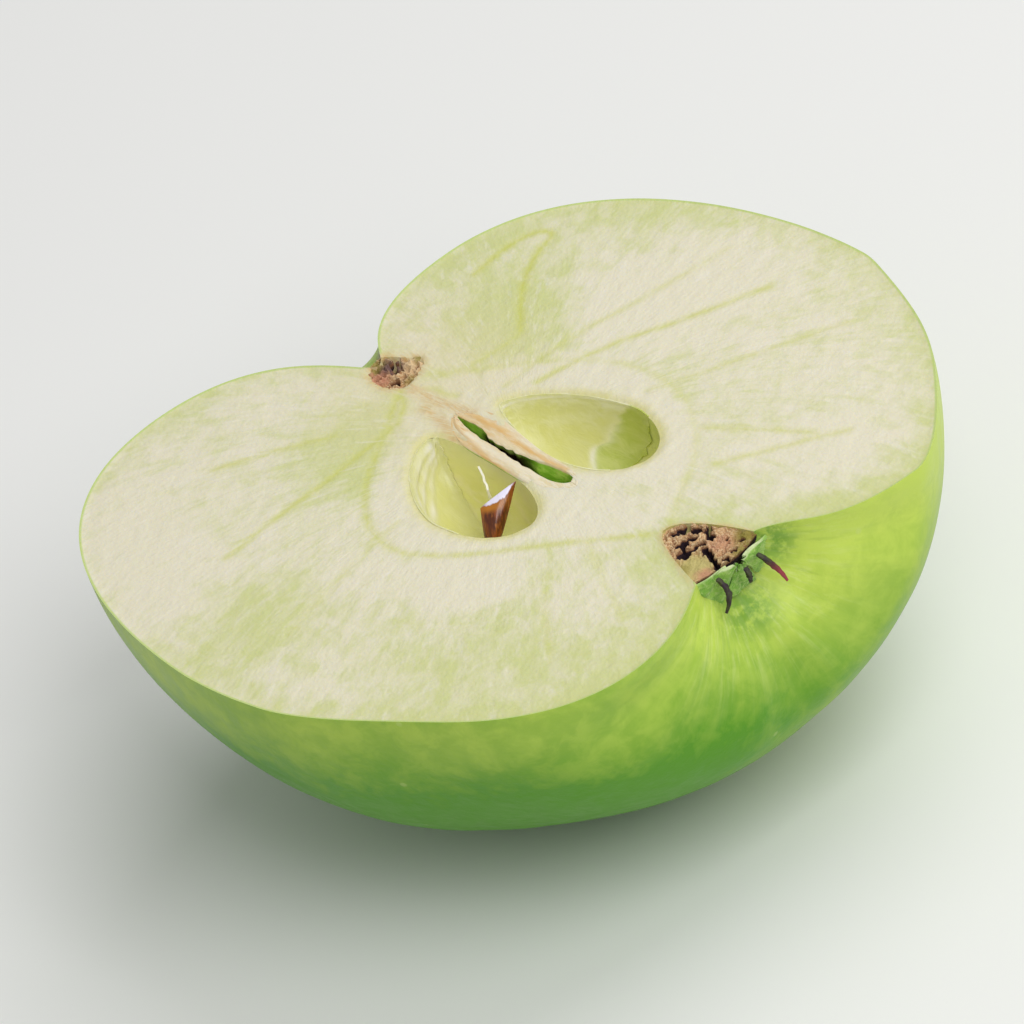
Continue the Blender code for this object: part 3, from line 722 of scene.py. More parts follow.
def apple_body(wrinkle_depth):
    """The half as one closed surface: skin and bell, the cut face between its outline and its
    holes, and the walls of the holes. Returns points, faces with their finish's number, how far
    each point lies from the skin, the holes and the bell's outline."""
    skin, stations = apple_skin(wrinkle_depth)
    outline = np.concatenate([skin[:, 0, :2], skin[-2:0:-1, -1, :2]])
    sides = stations - BELL_STEPS
    bell = outline[sides:stations + BELL_STEPS]
    rims = (outline[:sides + 1:2], np.concatenate([outline[-sides:], outline[:1]])[::2])
    chambers = (RIGHT_CHAMBER, LEFT_CHAMBER, SLIT)
    holes = [hole_outline(chamber, count) for chamber, count in zip(chambers, MOUTH_POINTS)]
    flat, triangles = cut_face(outline, holes)
    away = np.minimum(*(distance_to(flat, line) for line in rims))
    border = np.minimum(away, near_line(flat, bell, 1.0))
    pit_rim = np.concatenate([outline[-14:], outline[:15]])
    border = np.where(near_line(flat, pit_rim, 0.3) < 0.04, 0.0, border)
    face = np.column_stack([flat, face_height(flat, border)])

    first = skin[..., 0].size
    points, rim = [skin.reshape(-1, 3), face], [np.zeros(first), away]
    quads = grid_faces(stations, TURN_STEPS + 1)
    skin_faces = sides * TURN_STEPS
    sets = [(quads[:skin_faces], SKIN), (quads[skin_faces:], BELL_WALL), (triangles + first, FLESH)]
    first += len(face)
    kinds = (CHAMBER_WALL, CHAMBER_WALL, SLIT_WALL)
    for chamber, hole, kind, ridge in zip(chambers, holes, kinds, (0.10, 0.10, 0.0)):
        mouth = np.column_stack([hole, face_height(hole, np.full(len(hole), DEEP_INSIDE))])
        wall, wall_quads, wall_fan = bowl(mouth, chamber_centre(chamber), chamber["depth"], ridge)
        points.append(wall)
        rim.append(np.full(len(wall), DEEP_INSIDE))
        sets += [(wall_quads + first, kind), (wall_fan + first, kind)]
        first += len(wall)
    return np.concatenate(points), sets, np.concatenate(rim), holes, bell


def body_marks(points, rim, holes, bell):
    """Numbers that the flesh reads at each point: distance to the skin, closeness to the bundles,
    the browned and white lines and the chambers, and how deep it lies inside the core line."""
    flat = points[:, :2]
    level = points[:, 2] > -MARK_DEPTH
    bundle, core = np.zeros((2, len(points)))
    for strength, line in VEINS:
        bundle = np.maximum(bundle, strength * mark(flat, bend(line), 2.0, BUNDLE_WIDTH))
    stub = bend(STUB_OUTLINE, 80, closed=True)
    tan = np.max([0.9 * line_mark(flat, TAN_LINES, 0.7), 0.8 * line_mark(flat, WALL_LINES["tan"], 0.4),
                  0.75 * mark(flat, joined(stub), 2.0, 0.5), 0.75 * mark(flat, bell, 2.0, 0.35),
                  inside(flat, stub)], axis=0)
    lip = np.maximum(*(mark(flat, joined(hole), 3.0, 0.8) for hole in holes[:2]))
    loop = np.concatenate([bend(CORE_LINES[0][1]), bend(CORE_LINES[1][1])[::-1]])
    near = np.flatnonzero(level & (np.abs(flat).max(axis=1) < 23))
    core[near] = inside(flat[near], loop) * np.minimum(1.0, distance_to(flat[near], loop) / 1.5)
    return {"rim": rim, "bundle": bundle * level, "core": core, "tan": tan * level, "lip": lip * level,
            "white": line_mark(flat, WALL_LINES["white"], 0.3) * level}


def sheet(rows, thickness):
    """A closed thin shell: a grid of points and its copy, moved against the grid's own normals by
    a thickness for each point, joined round the border. Returns points and faces."""
    rows = np.asarray(rows, float)
    back = rows - grid_normals(rows) * np.broadcast_to(thickness, rows.shape[:2])[..., None]
    height, width = rows.shape[:2]
    count = height * width
    index = np.arange(count).reshape(height, width)
    border = np.concatenate([index[0, :-1], index[:-1, -1], index[-1, :0:-1], index[:0:-1, 0]])
    following = np.roll(border, -1)
    sides = np.column_stack([border, following, following + count, border + count])
    front = grid_faces(height, width)
    return (np.concatenate([rows.reshape(-1, 3), back.reshape(-1, 3)]),
            np.concatenate([front, front[:, ::-1] + count, sides[:, ::-1]]))


def tube(line, radii):
    """A closed tube along a line of points: a row of radii for each ring, which stands square to
    the line, and a point at each end."""
    way = np.gradient(line, axis=0)
    way /= np.linalg.norm(way, axis=1)[:, None]
    side = np.cross(way, (0.2, 0.1, 1.0))
    side /= np.linalg.norm(side, axis=1)[:, None]
    up = np.cross(way, side)
    around = radii.shape[1]
    angle = np.linspace(0, 2 * pi, around, endpoint=False)
    rings = (line[:, None] + side[:, None] * (radii * np.cos(angle))[..., None]
             + up[:, None] * (radii * np.sin(angle))[..., None])
    count = len(line) * around
    points = np.concatenate([rings.reshape(-1, 3), line[:1] - way[:1] * radii[0].mean() * 0.5,
                             line[-1:] + way[-1:] * radii[-1].mean() * 0.5])
    return points, grid_faces(len(line), around, closed=True), end_fans(around, count)


def hairs(roots, tips, width):
    """Fine three-sided hairs, each from its root over a bent middle to its tip."""
    count = len(roots)
    way = tips - roots
    side = np.cross(way, (0.3, 0.2, 1.0))
    side /= np.linalg.norm(side, axis=1)[:, None] + 1e-9
    length = np.linalg.norm(way, axis=1)[:, None]
    up = np.cross(way / (length + 1e-9), side)
    sag = length * up * 0.12
    rings = []
    for middle, size in ((roots, 1.0), (roots + way * 0.5 + sag, 0.8)):
        for angle in (0, 2 * pi / 3, 4 * pi / 3):
            rings.append(middle + (side * cos(angle) + up * sin(angle)) * size * width / 2)
    points = np.stack([*rings, tips], axis=1).reshape(-1, 3)
    start = np.arange(count)[:, None] * 7
    quads = np.array([(0, 1, 4, 3), (1, 2, 5, 4), (2, 0, 3, 5)])
    triangles = np.array([(3, 4, 6), (4, 5, 6), (5, 3, 6), (2, 1, 0)])
    return (points, (start[:, None] + quads).reshape(-1, 4),
            (start[:, None] + triangles).reshape(-1, 3))


def gather(*shapes):
    """Several (points, faces, faces...) shapes as one list of points and sets of faces."""
    points, sets, first = [], [], 0
    for shape in shapes:
        points.append(shape[0])
        sets += [(faces + first, 0) for faces in shape[1:] if len(faces)]
        first += len(shape[0])
    return np.concatenate(points), sets


def plug(outline, centre, relief, depth, rings=44):
    """A closed lump in a socket: rings drawn from its centre to the outline carry the relief on
    top, and a half oval of the given depth closes it below."""
    centre = np.asarray(centre, float)
    top_share = np.linspace(0.03, 1, rings)
    flat = centre + (outline[None] - centre) * top_share[:, None, None]
    top = np.concatenate([flat, relief(flat)[..., None]], axis=-1)
    turn = np.linspace(0, pi / 2, 14)[1:-1]
    rim_height = top[-1, :, 2]
    under = centre + (outline[None] - centre) * np.cos(turn)[:, None, None]
    fall = rim_height[None] - (depth + rim_height[None]) * np.sin(turn)[:, None]
    under = np.concatenate([under, fall[..., None]], axis=-1)
    rows = np.concatenate([top, under])
    count = len(outline)
    middle = relief(centre[None])[0]
    points = np.concatenate([rows.reshape(-1, 3), [[*centre, middle]], [[*centre, -depth]]])
    return points, grid_faces(len(rows), count, closed=True), end_fans(count, len(rows) * count)


def hollowed(points, height, hollows, seed):
    """A height with rough-edged hollows (x, y, radius, depth), each with a low raised rim."""
    for x, y, radius, depth in hollows:
        spread = np.hypot(points[..., 0] - x, points[..., 1] - y) / radius
        spread = spread + 0.22 * ripple(points, seed, 0.7, 1.8)
        height = height - depth * smooth_step(spread, 1.0, 0.4)
        height = height + 0.07 * np.exp(-((spread - 1.2) / 0.22) ** 2)
    return np.minimum(height, RELIEF_TOP)


def stub_relief(points):
    """The broken stem's top: crumbs and fibres, and the pits listed in STUB_PITS."""
    spread = np.hypot((points[..., 0] - 0.6) / 2.6, (points[..., 1] - 20.2) / 3.0)
    crumbs = ripple(points, 41, 0.5, 1.4) * 0.2 + ripple(points, 42, 1.5, 3.0) * 0.09
    height = -0.34 + crumbs * (0.4 + 0.6 * smooth_step(spread, 1.1, 0.8))
    return hollowed(points, height, STUB_PITS, 43)


def hollow_shade_mark(points, start, span, end):
    """How deep each point of a dry top lies: 0 at a start, 1 a span lower, and 0 below an end. The dry finish
    paints shade by it.
    """
    return np.clip((-start - points[:, 2]) / span, 0, 1) * (points[:, 2] > -end)


def tissue_outline():
    """The dry flower's outline: both sides of the bell, drawn in a little, and its open border."""
    right, left = (lobe_outline(lobe)[-BELL_STEPS:] for lobe in (RIGHT_LOBE, LEFT_LOBE))
    up = np.linspace(0, 1, BELL_STEPS)
    shift = CALYX_SHIFT + (BELL_APEX[0] - CALYX_SHIFT) * up
    one = np.column_stack([right[:, 0] + shift + 0.2, right[:, 1] + 0.15 * up])
    other = np.column_stack([shift - left[:, 0] - 0.2, left[:, 1] + 0.15 * up])[::-1]
    loop = np.concatenate([one[:-1], other, TISSUE_BORDER])
    return even_steps(joined(loop), 200, closed=True)


def tissue_relief(points):
    """The dry flower's cut top: crumbs, the hollows listed in TISSUE_HOLLOWS and a smoother lip on
    the side of the left lobe."""
    smooth = smooth_step(np.hypot(points[..., 0] + 0.7, points[..., 1] + 27.8), 2.4, 1.0)
    crumbs = 0.11 * ripple(points, 51, 0.5, 1.3) + 0.07 * ripple(points, 52, 1.5, 3.2)
    height = -0.2 + crumbs * (1 - 0.7 * smooth)
    return hollowed(points, height, TISSUE_HOLLOWS, 53)


def carpel_wall(side):
    """An upright strip between its slit edge and its outer edge, both smooth lines. Sections run
    from the outer edge over a fibrous top to the slit, down its face and back under the top."""
    across = "left" if side == "right" else "right"
    inner, outer, opposite = (bend(edge, WALL_STEPS) for edge in (
        SLIT_EDGES[side], WALL_EDGES[side], SLIT_EDGES[across]))
    way = np.linspace(0, 1, WALL_STEPS)
    ends = np.minimum(1, np.minimum(way, 1 - way) * 9) ** 0.5
    middle = smooth_step(np.abs(way - 0.45), 0.35, 0.15)
    ragged = (0.02 + 0.05 * middle) * ripple(spots(way * 16, 0), 61 if side == "left" else 62, 0.3, 1.2)
    toward = (outer - inner) / (np.linalg.norm(outer - inner, axis=1)[:, None] + 1e-9)
    inner = inner - toward * (ragged * ends * (way > 0.02) * (way < 0.98))[:, None]

    wide = np.linspace(0, 1, 15)
    flat = outer[:, None] + (inner - outer)[:, None] * wide[None, :, None]
    fibre = ripple(spots(wide * 3.2, way[:, None] * 6), 63, 0.3, 1.0)
    height = -0.19 + 0.11 * np.sin(pi * wide**1.4) ** 0.6 + 0.03 * fibre
    height[:, 0] = -0.32
    top = np.concatenate([flat, np.minimum(height, RELIEF_TOP)[..., None]], axis=-1)

    fall = np.array([0.05, 0.25, 0.6, 0.9, 1.0])
    deep = (WALL_DEPTH * ends)[:, None] * fall * 0.9
    lean = ripple(spots(fall * 3, way[:, None] * 9), 64, 0.2, 0.7)
    gap = np.clip(np.linalg.norm(opposite - inner, axis=1) / 2 - 0.1, 0, None)
    shut = smooth_step(inner[:, 1], 4.6, 6.4) + smooth_step(inner[:, 1], -1.0, -3.4)
    slope = (gap * np.clip(shut, 0, 1))[:, None] * np.array([0.2, 0.9, 1.0, 1.0, 1.0])
    face_flat = inner[:, None] + toward[:, None] * (0.03 - 0.05 * lean - slope)[..., None]
    face = np.concatenate([face_flat, (-0.14 - deep)[..., None]], axis=-1)

    width = np.linalg.norm(outer - inner, axis=1)
    back = [np.column_stack([inner + toward * (share * width)[:, None], -0.24 - WALL_DEPTH * ends * down])
            for share, down in ((0.35, 1.0), (0.5, 0.8), (0.72, 0.4), (0.9, 0.12))]
    rows = np.concatenate([top, face, np.stack(back, axis=1)], axis=1)
    around = rows.shape[1]
    points = np.concatenate([rows.reshape(-1, 3), rows[0].mean(0)[None], rows[-1].mean(0)[None]])
    return points, grid_faces(WALL_STEPS, around, closed=True), end_fans(around, WALL_STEPS * around)


def membrane(chamber, sector, folds, tear, seed):
    """A thin closed sheet close to a sector of a chamber's wall, with folds that run along the wall
    at their own depths and meet near its ends. Beyond a torn line it lies flat on the wall.

    Returns the sheet and, for each point, how much of a pale crest and of the bare wall it has."""
    start, end = np.radians(sector)
    level = 0.985 * np.linspace(0, 1, 76)[:, None]
    size, fall = bowl_level(level)
    across = np.linspace(0, 1, 120)[None]
    fray = 0.03 * ripple(spots(level * 9, 0), seed, 0.4, 1.6)
    angle = start + fray + (end - start - 2 * fray) * across
    mouth = chamber_mouth(chamber, angle.ravel()).reshape(*angle.shape, 2)
    centre = chamber_centre(chamber)
    reach = np.linalg.norm(mouth - centre, axis=-1)
    depth = fall * chamber["depth"] + 0 * angle
    grid = spots(angle * 4.5, depth * 0.25)
    wave = ripple(grid, seed + 2, 0.2, 0.8)
    drift = ripple(grid * (0.5, 0.3), seed + 3, 0.15, 0.5)
    ends = np.clip(np.sin(pi * across) * 3, 0, 1)
    meet = 0.12 + 0.88 * np.sin(pi * np.clip((across - 0.08) / 0.92, 0, 1)) ** 0.7
    crest, lift = np.zeros(angle.shape), np.zeros(angle.shape)
    for low, half, height, strength in folds:
        off = (depth - low * meet * (1 + 0.15 * drift)) / half
        lift = lift + height * ends * np.exp(-np.where(off > 0, off, off * 0.5) ** 2)
        crest = np.maximum(crest, strength * np.exp(-off**2) * ends * (0.7 + 0.5 * wave))
    bare = np.zeros(angle.shape)
    if tear:
        depths, bearings = np.array(tear).T
        torn = np.radians(np.interp(depth, depths, bearings))
        torn = torn + 0.035 * ripple(spots(depth * 0.9, 0), seed + 4, 0.3, 1.1)
        off = (angle - torn) * reach * size
        bare = smooth_step(off, 0.12, -0.12)
        crest = np.maximum(crest * (1 - bare), np.exp(-(off / 0.32) ** 2) * (0.5 + 0.5 * wave))
    away = smooth_step(level, 0.0, 0.12) * (0.22 - 0.12 * bare) + lift * (1 - bare)
    flat = centre + (mouth - centre) * (size * (1 - away / reach))[..., None]
    wavy = 0.05 * wave * smooth_step(level, 0.0, 0.15)
    flat += (centre - flat) / reach[..., None] * wavy[..., None]
    height = -fall * (chamber["depth"] - 0.3) - 0.24
    rows = np.concatenate([flat, (height + 0 * angle)[..., None]], axis=-1)
    return sheet(rows, -LINING_THICKNESS), {"edge": np.tile(np.clip(crest, 0, 1).ravel(), 2),
                                            "bare": np.tile(bare.ravel(), 2)}


def ribbon(line, low, thickness, seed):
    """A standing membrane: from a line of top points straight down to a depth, slightly wavy."""
    top = bend(line, 60)[:, None]
    down = np.linspace(0, 1, 16)
    wave = 0.05 * ripple(spots(np.linspace(0, 6, 60)[:, None], down * 2), seed, 0.2, 0.6)
    return sheet(spots(top[..., 0] + wave, top[..., 1] - wave * 0.5,
                       top[..., 2] + (low - top[..., 2]) * down), thickness)


def sepal_leaf(bearing, reach, seed):
    """A thin wavy leaf in front of the bell, from the basin in towards the core line: a sector at
    its bearing that narrows inwards, with veins and a torn tip."""
    turn = radians(bearing)
    out, side = np.array((cos(turn), -sin(turn))), np.array((sin(turn), cos(turn)))
    along, across = np.meshgrid(np.linspace(0, 1, 48), np.linspace(-1, 1, 40), indexing="ij")
    torn = 0.12 * ripple(spots(across * 3, 0), seed, 0.5, 1.6)
    along = along * (0.92 + torn * along)
    radius = reach + (SEPAL_TIP_RADIUS - reach) * along
    half = radius * sin(radians(SEPAL_HALF_ANGLE)) - 0.03
    vein = 0.05 * np.cos(across * 9 + 2 * along)
    vein = vein + 0.03 * ripple(spots(across * 5, along * 1.5), seed + 1, 0.4, 1.4)
    wave = 0.12 * np.sin(6 * along + 4 * across) + 0.2 * across**2 + vein
    flat = out * radius[..., None] + side * (half * across)[..., None]
    return spots(SEPAL_CENTRE_X + flat[..., 0], SEPAL_BASE_Y - SEPAL_LIFT * along + wave,
                 np.minimum(flat[..., 1], RELIEF_TOP))


def sepal_down(rows, count, length, seed):
    """Fine hairs that stand out from a leaf's front, bent towards the basin's rim."""
    rng = np.random.default_rng(seed)
    height, width = rows.shape[:2]
    roots = rows[1:-1].reshape(-1, 3)[rng.choice((height - 2) * width, count, replace=False)]
    outward = roots - (SEPAL_CENTRE_X, SEPAL_BASE_Y, 0.0)
    outward[:, 1] = 0
    outward /= np.linalg.norm(outward, axis=1)[:, None] + 0.3
    heading = outward * rng.uniform(0.2, 1.0, (count, 1)) + (0, -0.75, 0) + rng.normal(0, 0.28, (count, 3))
    tips = roots + heading * length * rng.uniform(0.4, 1.0, (count, 1))
    tips[:, 2] = np.minimum(tips[:, 2], RELIEF_TOP)
    return hairs(roots, tips, HAIR_WIDTH)


def dry_thread(stations, radii, seed):
    """A withered thread on a smooth curve through three stations, its radius uneven."""
    start, bent, end = (np.array(station) for station in stations)
    t = np.linspace(0, 1, 44)[:, None]
    through = 2 * bent - (start + end) / 2
    line = (1 - t) ** 2 * start + 2 * t * (1 - t) * through + t * t * end
    radius = np.interp(t, (0, 0.5, 1), radii)
    angle = np.linspace(0, 2 * pi, 14, endpoint=False)
    grooves = 1 + 0.16 * np.cos(3 * angle + 4 * t) + 0.14 * ripple(spots(t * 9, angle), seed, 0.2, 0.8)
    return tube(line, radius * grooves * 0.72)


def seed_shard():
    """A shard-like drop: lens-shaped sections from the facet between tip and corner to the foot,
    with long low ridges. The facet's border is rounded by two smaller sections above it."""
    tip, corner, foot = (np.array(point) for point in (SEED_TIP, SEED_CORNER, SEED_FOOT))
    top, across = (tip + corner) / 2, (tip - corner) / 2
    through = np.cross(foot - top, across)
    through /= np.linalg.norm(through)
    count, around = 64, 80
    along = np.linspace(0, 0.992, count)[:, None]
    end = (1 - along**5) ** 0.5
    wide = (1 - SEED_TAPER * along) * end
    thick = (SEED_FACET + (SEED_THICKNESS - SEED_FACET) * np.sin(pi * along**0.8)) * end
    angle = np.linspace(0, 2 * pi, around, endpoint=False)
    ridge = 1 - 0.02 + 0.02 * ripple(spots(angle * 3.0, along * 1.5), 71, 0.3, 0.9)
    rings = (top + along[..., None] * (foot - top)
             + across * (wide * ridge * np.cos(angle))[..., None]
             + through * (thick / 2 * ridge * np.sin(angle) * np.abs(np.sin(angle)) ** 0.3)[..., None])
    lids = [top + (rings[0] - top) * share + (top - foot) * rise
            for share, rise in ((0.82, 0.022), (0.93, 0.012))]
    rings = np.concatenate([np.stack(lids), rings])
    points = np.concatenate([rings.reshape(-1, 3), [top + (top - foot) * 0.024], [foot]])
    return points, grid_faces(len(rings), around, closed=True), end_fans(around, len(rings) * around)


# Finishes


class Finish:
    """A material whose nodes are added by short calls; each call returns the node's output."""

    def __init__(self, name):
        self.material = bpy.data.materials.new(name)
        self.material.use_nodes = True
        self.tree = self.material.node_tree
        self.shader = self.tree.nodes["Principled BSDF"]
        coordinates = self.tree.nodes.new("ShaderNodeTexCoord").outputs["Object"]
        scale = (1 / MM,) * 3
        self.spot = self.vector("MULTIPLY_ADD", coordinates, scale, (-CORE_X, 0.0, -CUT_Z))

    def put(self, socket, value):
        """Link a socket to another, or set its own value."""
        if isinstance(value, bpy.types.NodeSocket):
            self.tree.links.new(value, socket)
        elif socket.type == "RGBA":
            socket.default_value = (*value[:3], 1.0)
        else:
            socket.default_value = value

    def node(self, kind, inputs, output=0, **settings):
        """A node with its settings and inputs; the given output comes back."""
        made = self.tree.nodes.new(kind)
        for key, value in settings.items():
            setattr(made, key, value)
        for key, value in inputs.items():
            self.put(made.inputs[key], value)
        return made.outputs[output]

    def vector(self, operation, a, b=(0.0, 0.0, 0.0), c=(0.0, 0.0, 0.0)):
        output = "Value" if operation in ("LENGTH", "DISTANCE", "DOT_PRODUCT") else "Vector"
        return self.node("ShaderNodeVectorMath", {0: a, 1: b, 2: c}, output, operation=operation)

    def sum(self, operation, a, b=0.0, c=0.0):
        return self.node("ShaderNodeMath", {0: a, 1: b, 2: c}, operation=operation)

    def times(self, a, b):
        return self.sum("MULTIPLY", a, b)

    def tint(self, colour, other, share, strength=None):
        """A colour with another laid over it by a share, times a strength where one is given."""
        share = share if strength is None else self.times(share, strength)
        return self.node("ShaderNodeMix", {0: share, 6: colour, 7: other}, 2, data_type="RGBA")

    def drawn(self, *scale):
        """The spot with each axis scaled, so that a pattern is drawn out along the smallest."""
        return self.vector("MULTIPLY", self.spot, scale)

    def noise(self, scale, detail=2.0, rough=0.5, at=None, warp=0.0):
        return self.node("ShaderNodeTexNoise", {"Vector": at or self.spot, "Scale": scale, "Detail": detail,
                                                "Roughness": rough, "Distortion": warp})

    def cells(self, scale, at=None):
        return self.node("ShaderNodeTexVoronoi", {"Vector": at or self.spot, "Scale": scale}, "Distance")

    def span(self, value, low, high, to_low=0.0, to_high=1.0):
        """A value from low to high carried softly to another span."""
        return self.node("ShaderNodeMapRange", {0: value, 1: low, 2: high, 3: to_low, 4: to_high},
                         interpolation_type="SMOOTHSTEP")

    def near(self, centre, inner, outer):
        """1 within the inner distance of a point and 0 beyond the outer one."""
        return self.span(self.vector("DISTANCE", self.spot, centre), inner, outer, 1.0, 0.0)

    def value(self, name):
        """A number that each point of the piece carries."""
        return self.node("ShaderNodeAttribute", {}, "Fac", attribute_name=name)

    def part(self, axis):
        """One coordinate of the spot: 0 across, 1 along the core line, 2 up."""
        return self.node("ShaderNodeSeparateXYZ", {0: self.spot}, axis)

    def flow(self, centre, pull, plane=(1.0, 1.0, 0.0), turn_size=20.0):
        """Coordinates that run round a centre and, drawn out by the pull, away from it."""
        away = self.vector("MULTIPLY", self.vector("SUBTRACT", self.spot, centre), plane)
        way = self.vector("SCALE", self.vector("NORMALIZE", away))
        self.put(way.node.inputs["Scale"], turn_size)
        length = self.times(self.vector("LENGTH", away), pull)
        rest = self.node("ShaderNodeCombineXYZ", {0: length, 1: length, 2: length})
        return self.vector("ADD", way, rest)

    def bump(self, *layers):
        """Bumps from (height, distance in millimetres) layers, one on the other."""
        normal = None
        for height, distance in layers:
            inputs = {"Height": height, "Distance": distance * MM, "Strength": 1.0}
            if normal:
                inputs["Normal"] = normal
            normal = self.node("ShaderNodeBump", inputs, "Normal")
        self.put(self.shader.inputs["Normal"], normal)

    def set(self, **values):
        """Set the shader's sockets, whose names have _ for blanks, and return the material."""
        for name, value in values.items():
            self.put(self.shader.inputs[name.replace("_", " ")], value)
        return self.material


def zones(finish, colour, looks, areas):
    """A colour with soft-edged areas of other colours laid over it: (centre, inner, outer, share,
    the colour's name), their borders broken by noise."""
    ragged = finish.noise(1.1, 3.0, 0.6)
    for centre, inner, outer, share, other in areas:
        away = finish.sum("MULTIPLY_ADD", ragged, 1.6, finish.vector("DISTANCE", finish.spot, centre))
        held = finish.span(away, inner + 0.8, outer + 0.8, share, 0.0)
        colour = finish.tint(colour, getattr(looks, other), held)
    return colour


def flesh_finish(looks):
    """Cut flesh: cream with greenish blotches and fine streaks that run out from the core, greener
    by the skin, yellower by the stem and the chambers, whiter inside the core line, with green
    bundles and browned fibres from point attributes."""
    finish = Finish("apple_flesh")
    flow = finish.flow((0.5, 1.0, 0.0), 0.16)
    streak = finish.noise(1.15, 3.0, 0.55, at=flow, warp=0.35)
    fine = finish.noise(3.4, 2.0, 0.6, at=flow)
    patch = finish.noise(0.36, 4.0, 0.65, warp=0.5)
    clouds = finish.noise(0.08, 2.0, 0.5)
    grain = finish.noise(2.6, 3.0, 0.6)
    rim, core = finish.value("rim"), finish.value("core")
    lower = finish.span(finish.vector("DOT_PRODUCT", finish.spot, (-0.45, -0.9, 0.0)), 10.0, 30.0)
    green = finish.times(finish.span(streak, 0.40, 0.72), 0.30)
    layers = [(finish.span(patch, 0.38, 0.68), 0.36), (finish.span(clouds, 0.35, 0.7), 0.2),
              (finish.span(fine, 0.45, 0.75), 0.12), (lower, 0.5), (core, -0.35),
              (finish.span(finish.part(0), -22.0, -33.0), -0.3), (finish.span(rim, 0.0, 4.0, 1.0, 0.0), 0.32)]
    layers += [(finish.near((*middle, 0.0), inner, outer), share)
               for middle, inner, outer, share in FLESH_AREAS]
    for value, share in layers:
        green = finish.sum("MULTIPLY_ADD", value, share, green)
    colour = finish.tint(looks.cream, looks.green_cream, finish.span(green, 0.05, 1.15))
    colour = finish.tint(colour, looks.yellow_cream, finish.near((1.5, 15.5, 0.0), 2.0, 16.0), 0.5)
    broken = finish.times(finish.value("bundle"), finish.span(patch, 0.3, 0.55, 0.45, 1.0))
    colour = finish.tint(colour, looks.bundle_green, broken, looks.bundle_strength)
    white = finish.span(finish.noise(1.3, 4.0, 0.65, at=flow), 0.53, 0.72)
    white = finish.sum("MAXIMUM", finish.times(white, 0.4), finish.value("white"))
    colour = finish.tint(colour, looks.pale, white)
    lip = finish.span(patch, 0.35, 0.6, 0.5, 0.9)
    colour = finish.tint(colour, looks.lip_yellow, finish.value("lip"), lip)
    colour = finish.tint(colour, looks.tan, finish.value("tan"), finish.span(fine, 0.36, 0.6, 0.35, 1.0))
    by_stem = finish.span(finish.vector("DISTANCE", finish.spot, (0.4, 21.5, 0.0)), 1.6, 2.4)
    colour = finish.tint(colour, looks.edge_green, finish.span(rim, 0.10, 0.32, 1.0, 0.0), by_stem)
    finish.bump((grain, 0.05), (fine, 0.05), (finish.cells(2.1), 0.03))
    rough = finish.span(finish.noise(1.4, 2.0, 0.5), 0.3, 0.7, 0.38, 0.55)
    return finish.set(Base_Color=colour, Roughness=rough, Subsurface_Weight=0.15,
                      Subsurface_Radius=(1.0, 0.8, 0.35), Subsurface_Scale=0.0014,
                      Specular_IOR_Level=0.38)


def skin_finish(looks):
    """Apple skin: clear green that drifts in clouds, with painted light that brightens it by the cut and on
    the right and painted shade that deepens it below and on the left, soft pale streaks round the basin,
    painted shade in the hollows of the basin and the stem pit, few pores and a soft wax gloss."""
    finish = Finish("apple_skin")
    clouds = finish.noise(0.05, 2.0, 0.5)
    mottle = finish.noise(0.4, 4.0, 0.6, warp=0.4)
    along = finish.flow((1.8, 0.0, 0.0), 0.0, plane=(1.0, 0.0, 1.0), turn_size=18.0)
    length = finish.times(finish.part(1), 0.6)
    around = finish.vector("ADD", along, finish.node("ShaderNodeCombineXYZ", {1: length}))
    streak = finish.noise(0.5, 4.0, 0.6, at=around, warp=0.3)
    basin = finish.near((2.2, -29.5, -1.5), 2.5, 16.0)
    # Painted shade darkens the skin towards the bottom and painted light brightens it towards the cut; the
    # term across paints light on the right side and shade on the left.
    share = finish.span(finish.part(2), -18.0, -0.3, -0.18, 0.6)
    across = finish.span(finish.part(0), -20.0, 16.0, -0.7, 0.85)
    for value, part in ((finish.span(mottle, 0.35, 0.68), 0.2), (finish.span(streak, 0.4, 0.68), 0.08),
                        (finish.span(clouds, 0.35, 0.65), 0.16), (across, 0.34), (basin, 0.25)):
        share = finish.sum("MULTIPLY_ADD", value, part, share)
    colour = finish.tint(looks.deep_and_shaded_green, looks.bright_green, share)
    pale = finish.times(basin, finish.span(finish.noise(0.95, 4.0, 0.65, at=around), 0.46, 0.7))
    colour = finish.tint(colour, looks.streak, pale, 0.42)
    low = finish.times(basin, finish.span(finish.noise(0.7, 3.0, 0.6, at=around), 0.52, 0.72))
    colour = finish.tint(colour, looks.basin_and_shade_green, low, 0.3)
    down = finish.span(finish.noise(0.9, 4.0, 0.65), 0.35, 0.6, 0.3, 1.0)
    # Painted shade in the hollows of the basin and the stem pit.
    for spot, inner, outer, strength in SHADED_HOLLOWS:
        held = finish.times(finish.near(spot, inner, outer), finish.times(down, strength))
        colour = finish.tint(colour, looks.basin_and_shade_green, held)
    colour = finish.tint(colour, looks.russet, finish.near((0.2, 22.3, 0.0), 1.2, 3.6), 0.9)
    pores = finish.span(finish.cells(0.17), 0.035, 0.075, 1.0, 0.0)
    colour = finish.tint(colour, looks.pore, pores, 0.35)
    apart = finish.vector("ADD", finish.spot, (31.0, 7.0, 3.0))
    dark = finish.span(finish.cells(0.085, at=apart), 0.012, 0.028, 1.0, 0.0)
    colour = finish.tint(colour, looks.dark_pore, dark, 0.7)
    finish.bump((finish.noise(0.8, 3.0, 0.5), 0.08), (finish.noise(4.0, 2.0, 0.5), 0.012), (pores, 0.02))
    rough = finish.span(mottle, 0.3, 0.7, 0.36, 0.48)
    return finish.set(Base_Color=colour, Roughness=rough, Specular_IOR_Level=0.3, Coat_Weight=0.04,
                      Coat_Roughness=0.24, Subsurface_Weight=0.05, Subsurface_Radius=(0.6, 1.0, 0.25),
                      Subsurface_Scale=0.0012)


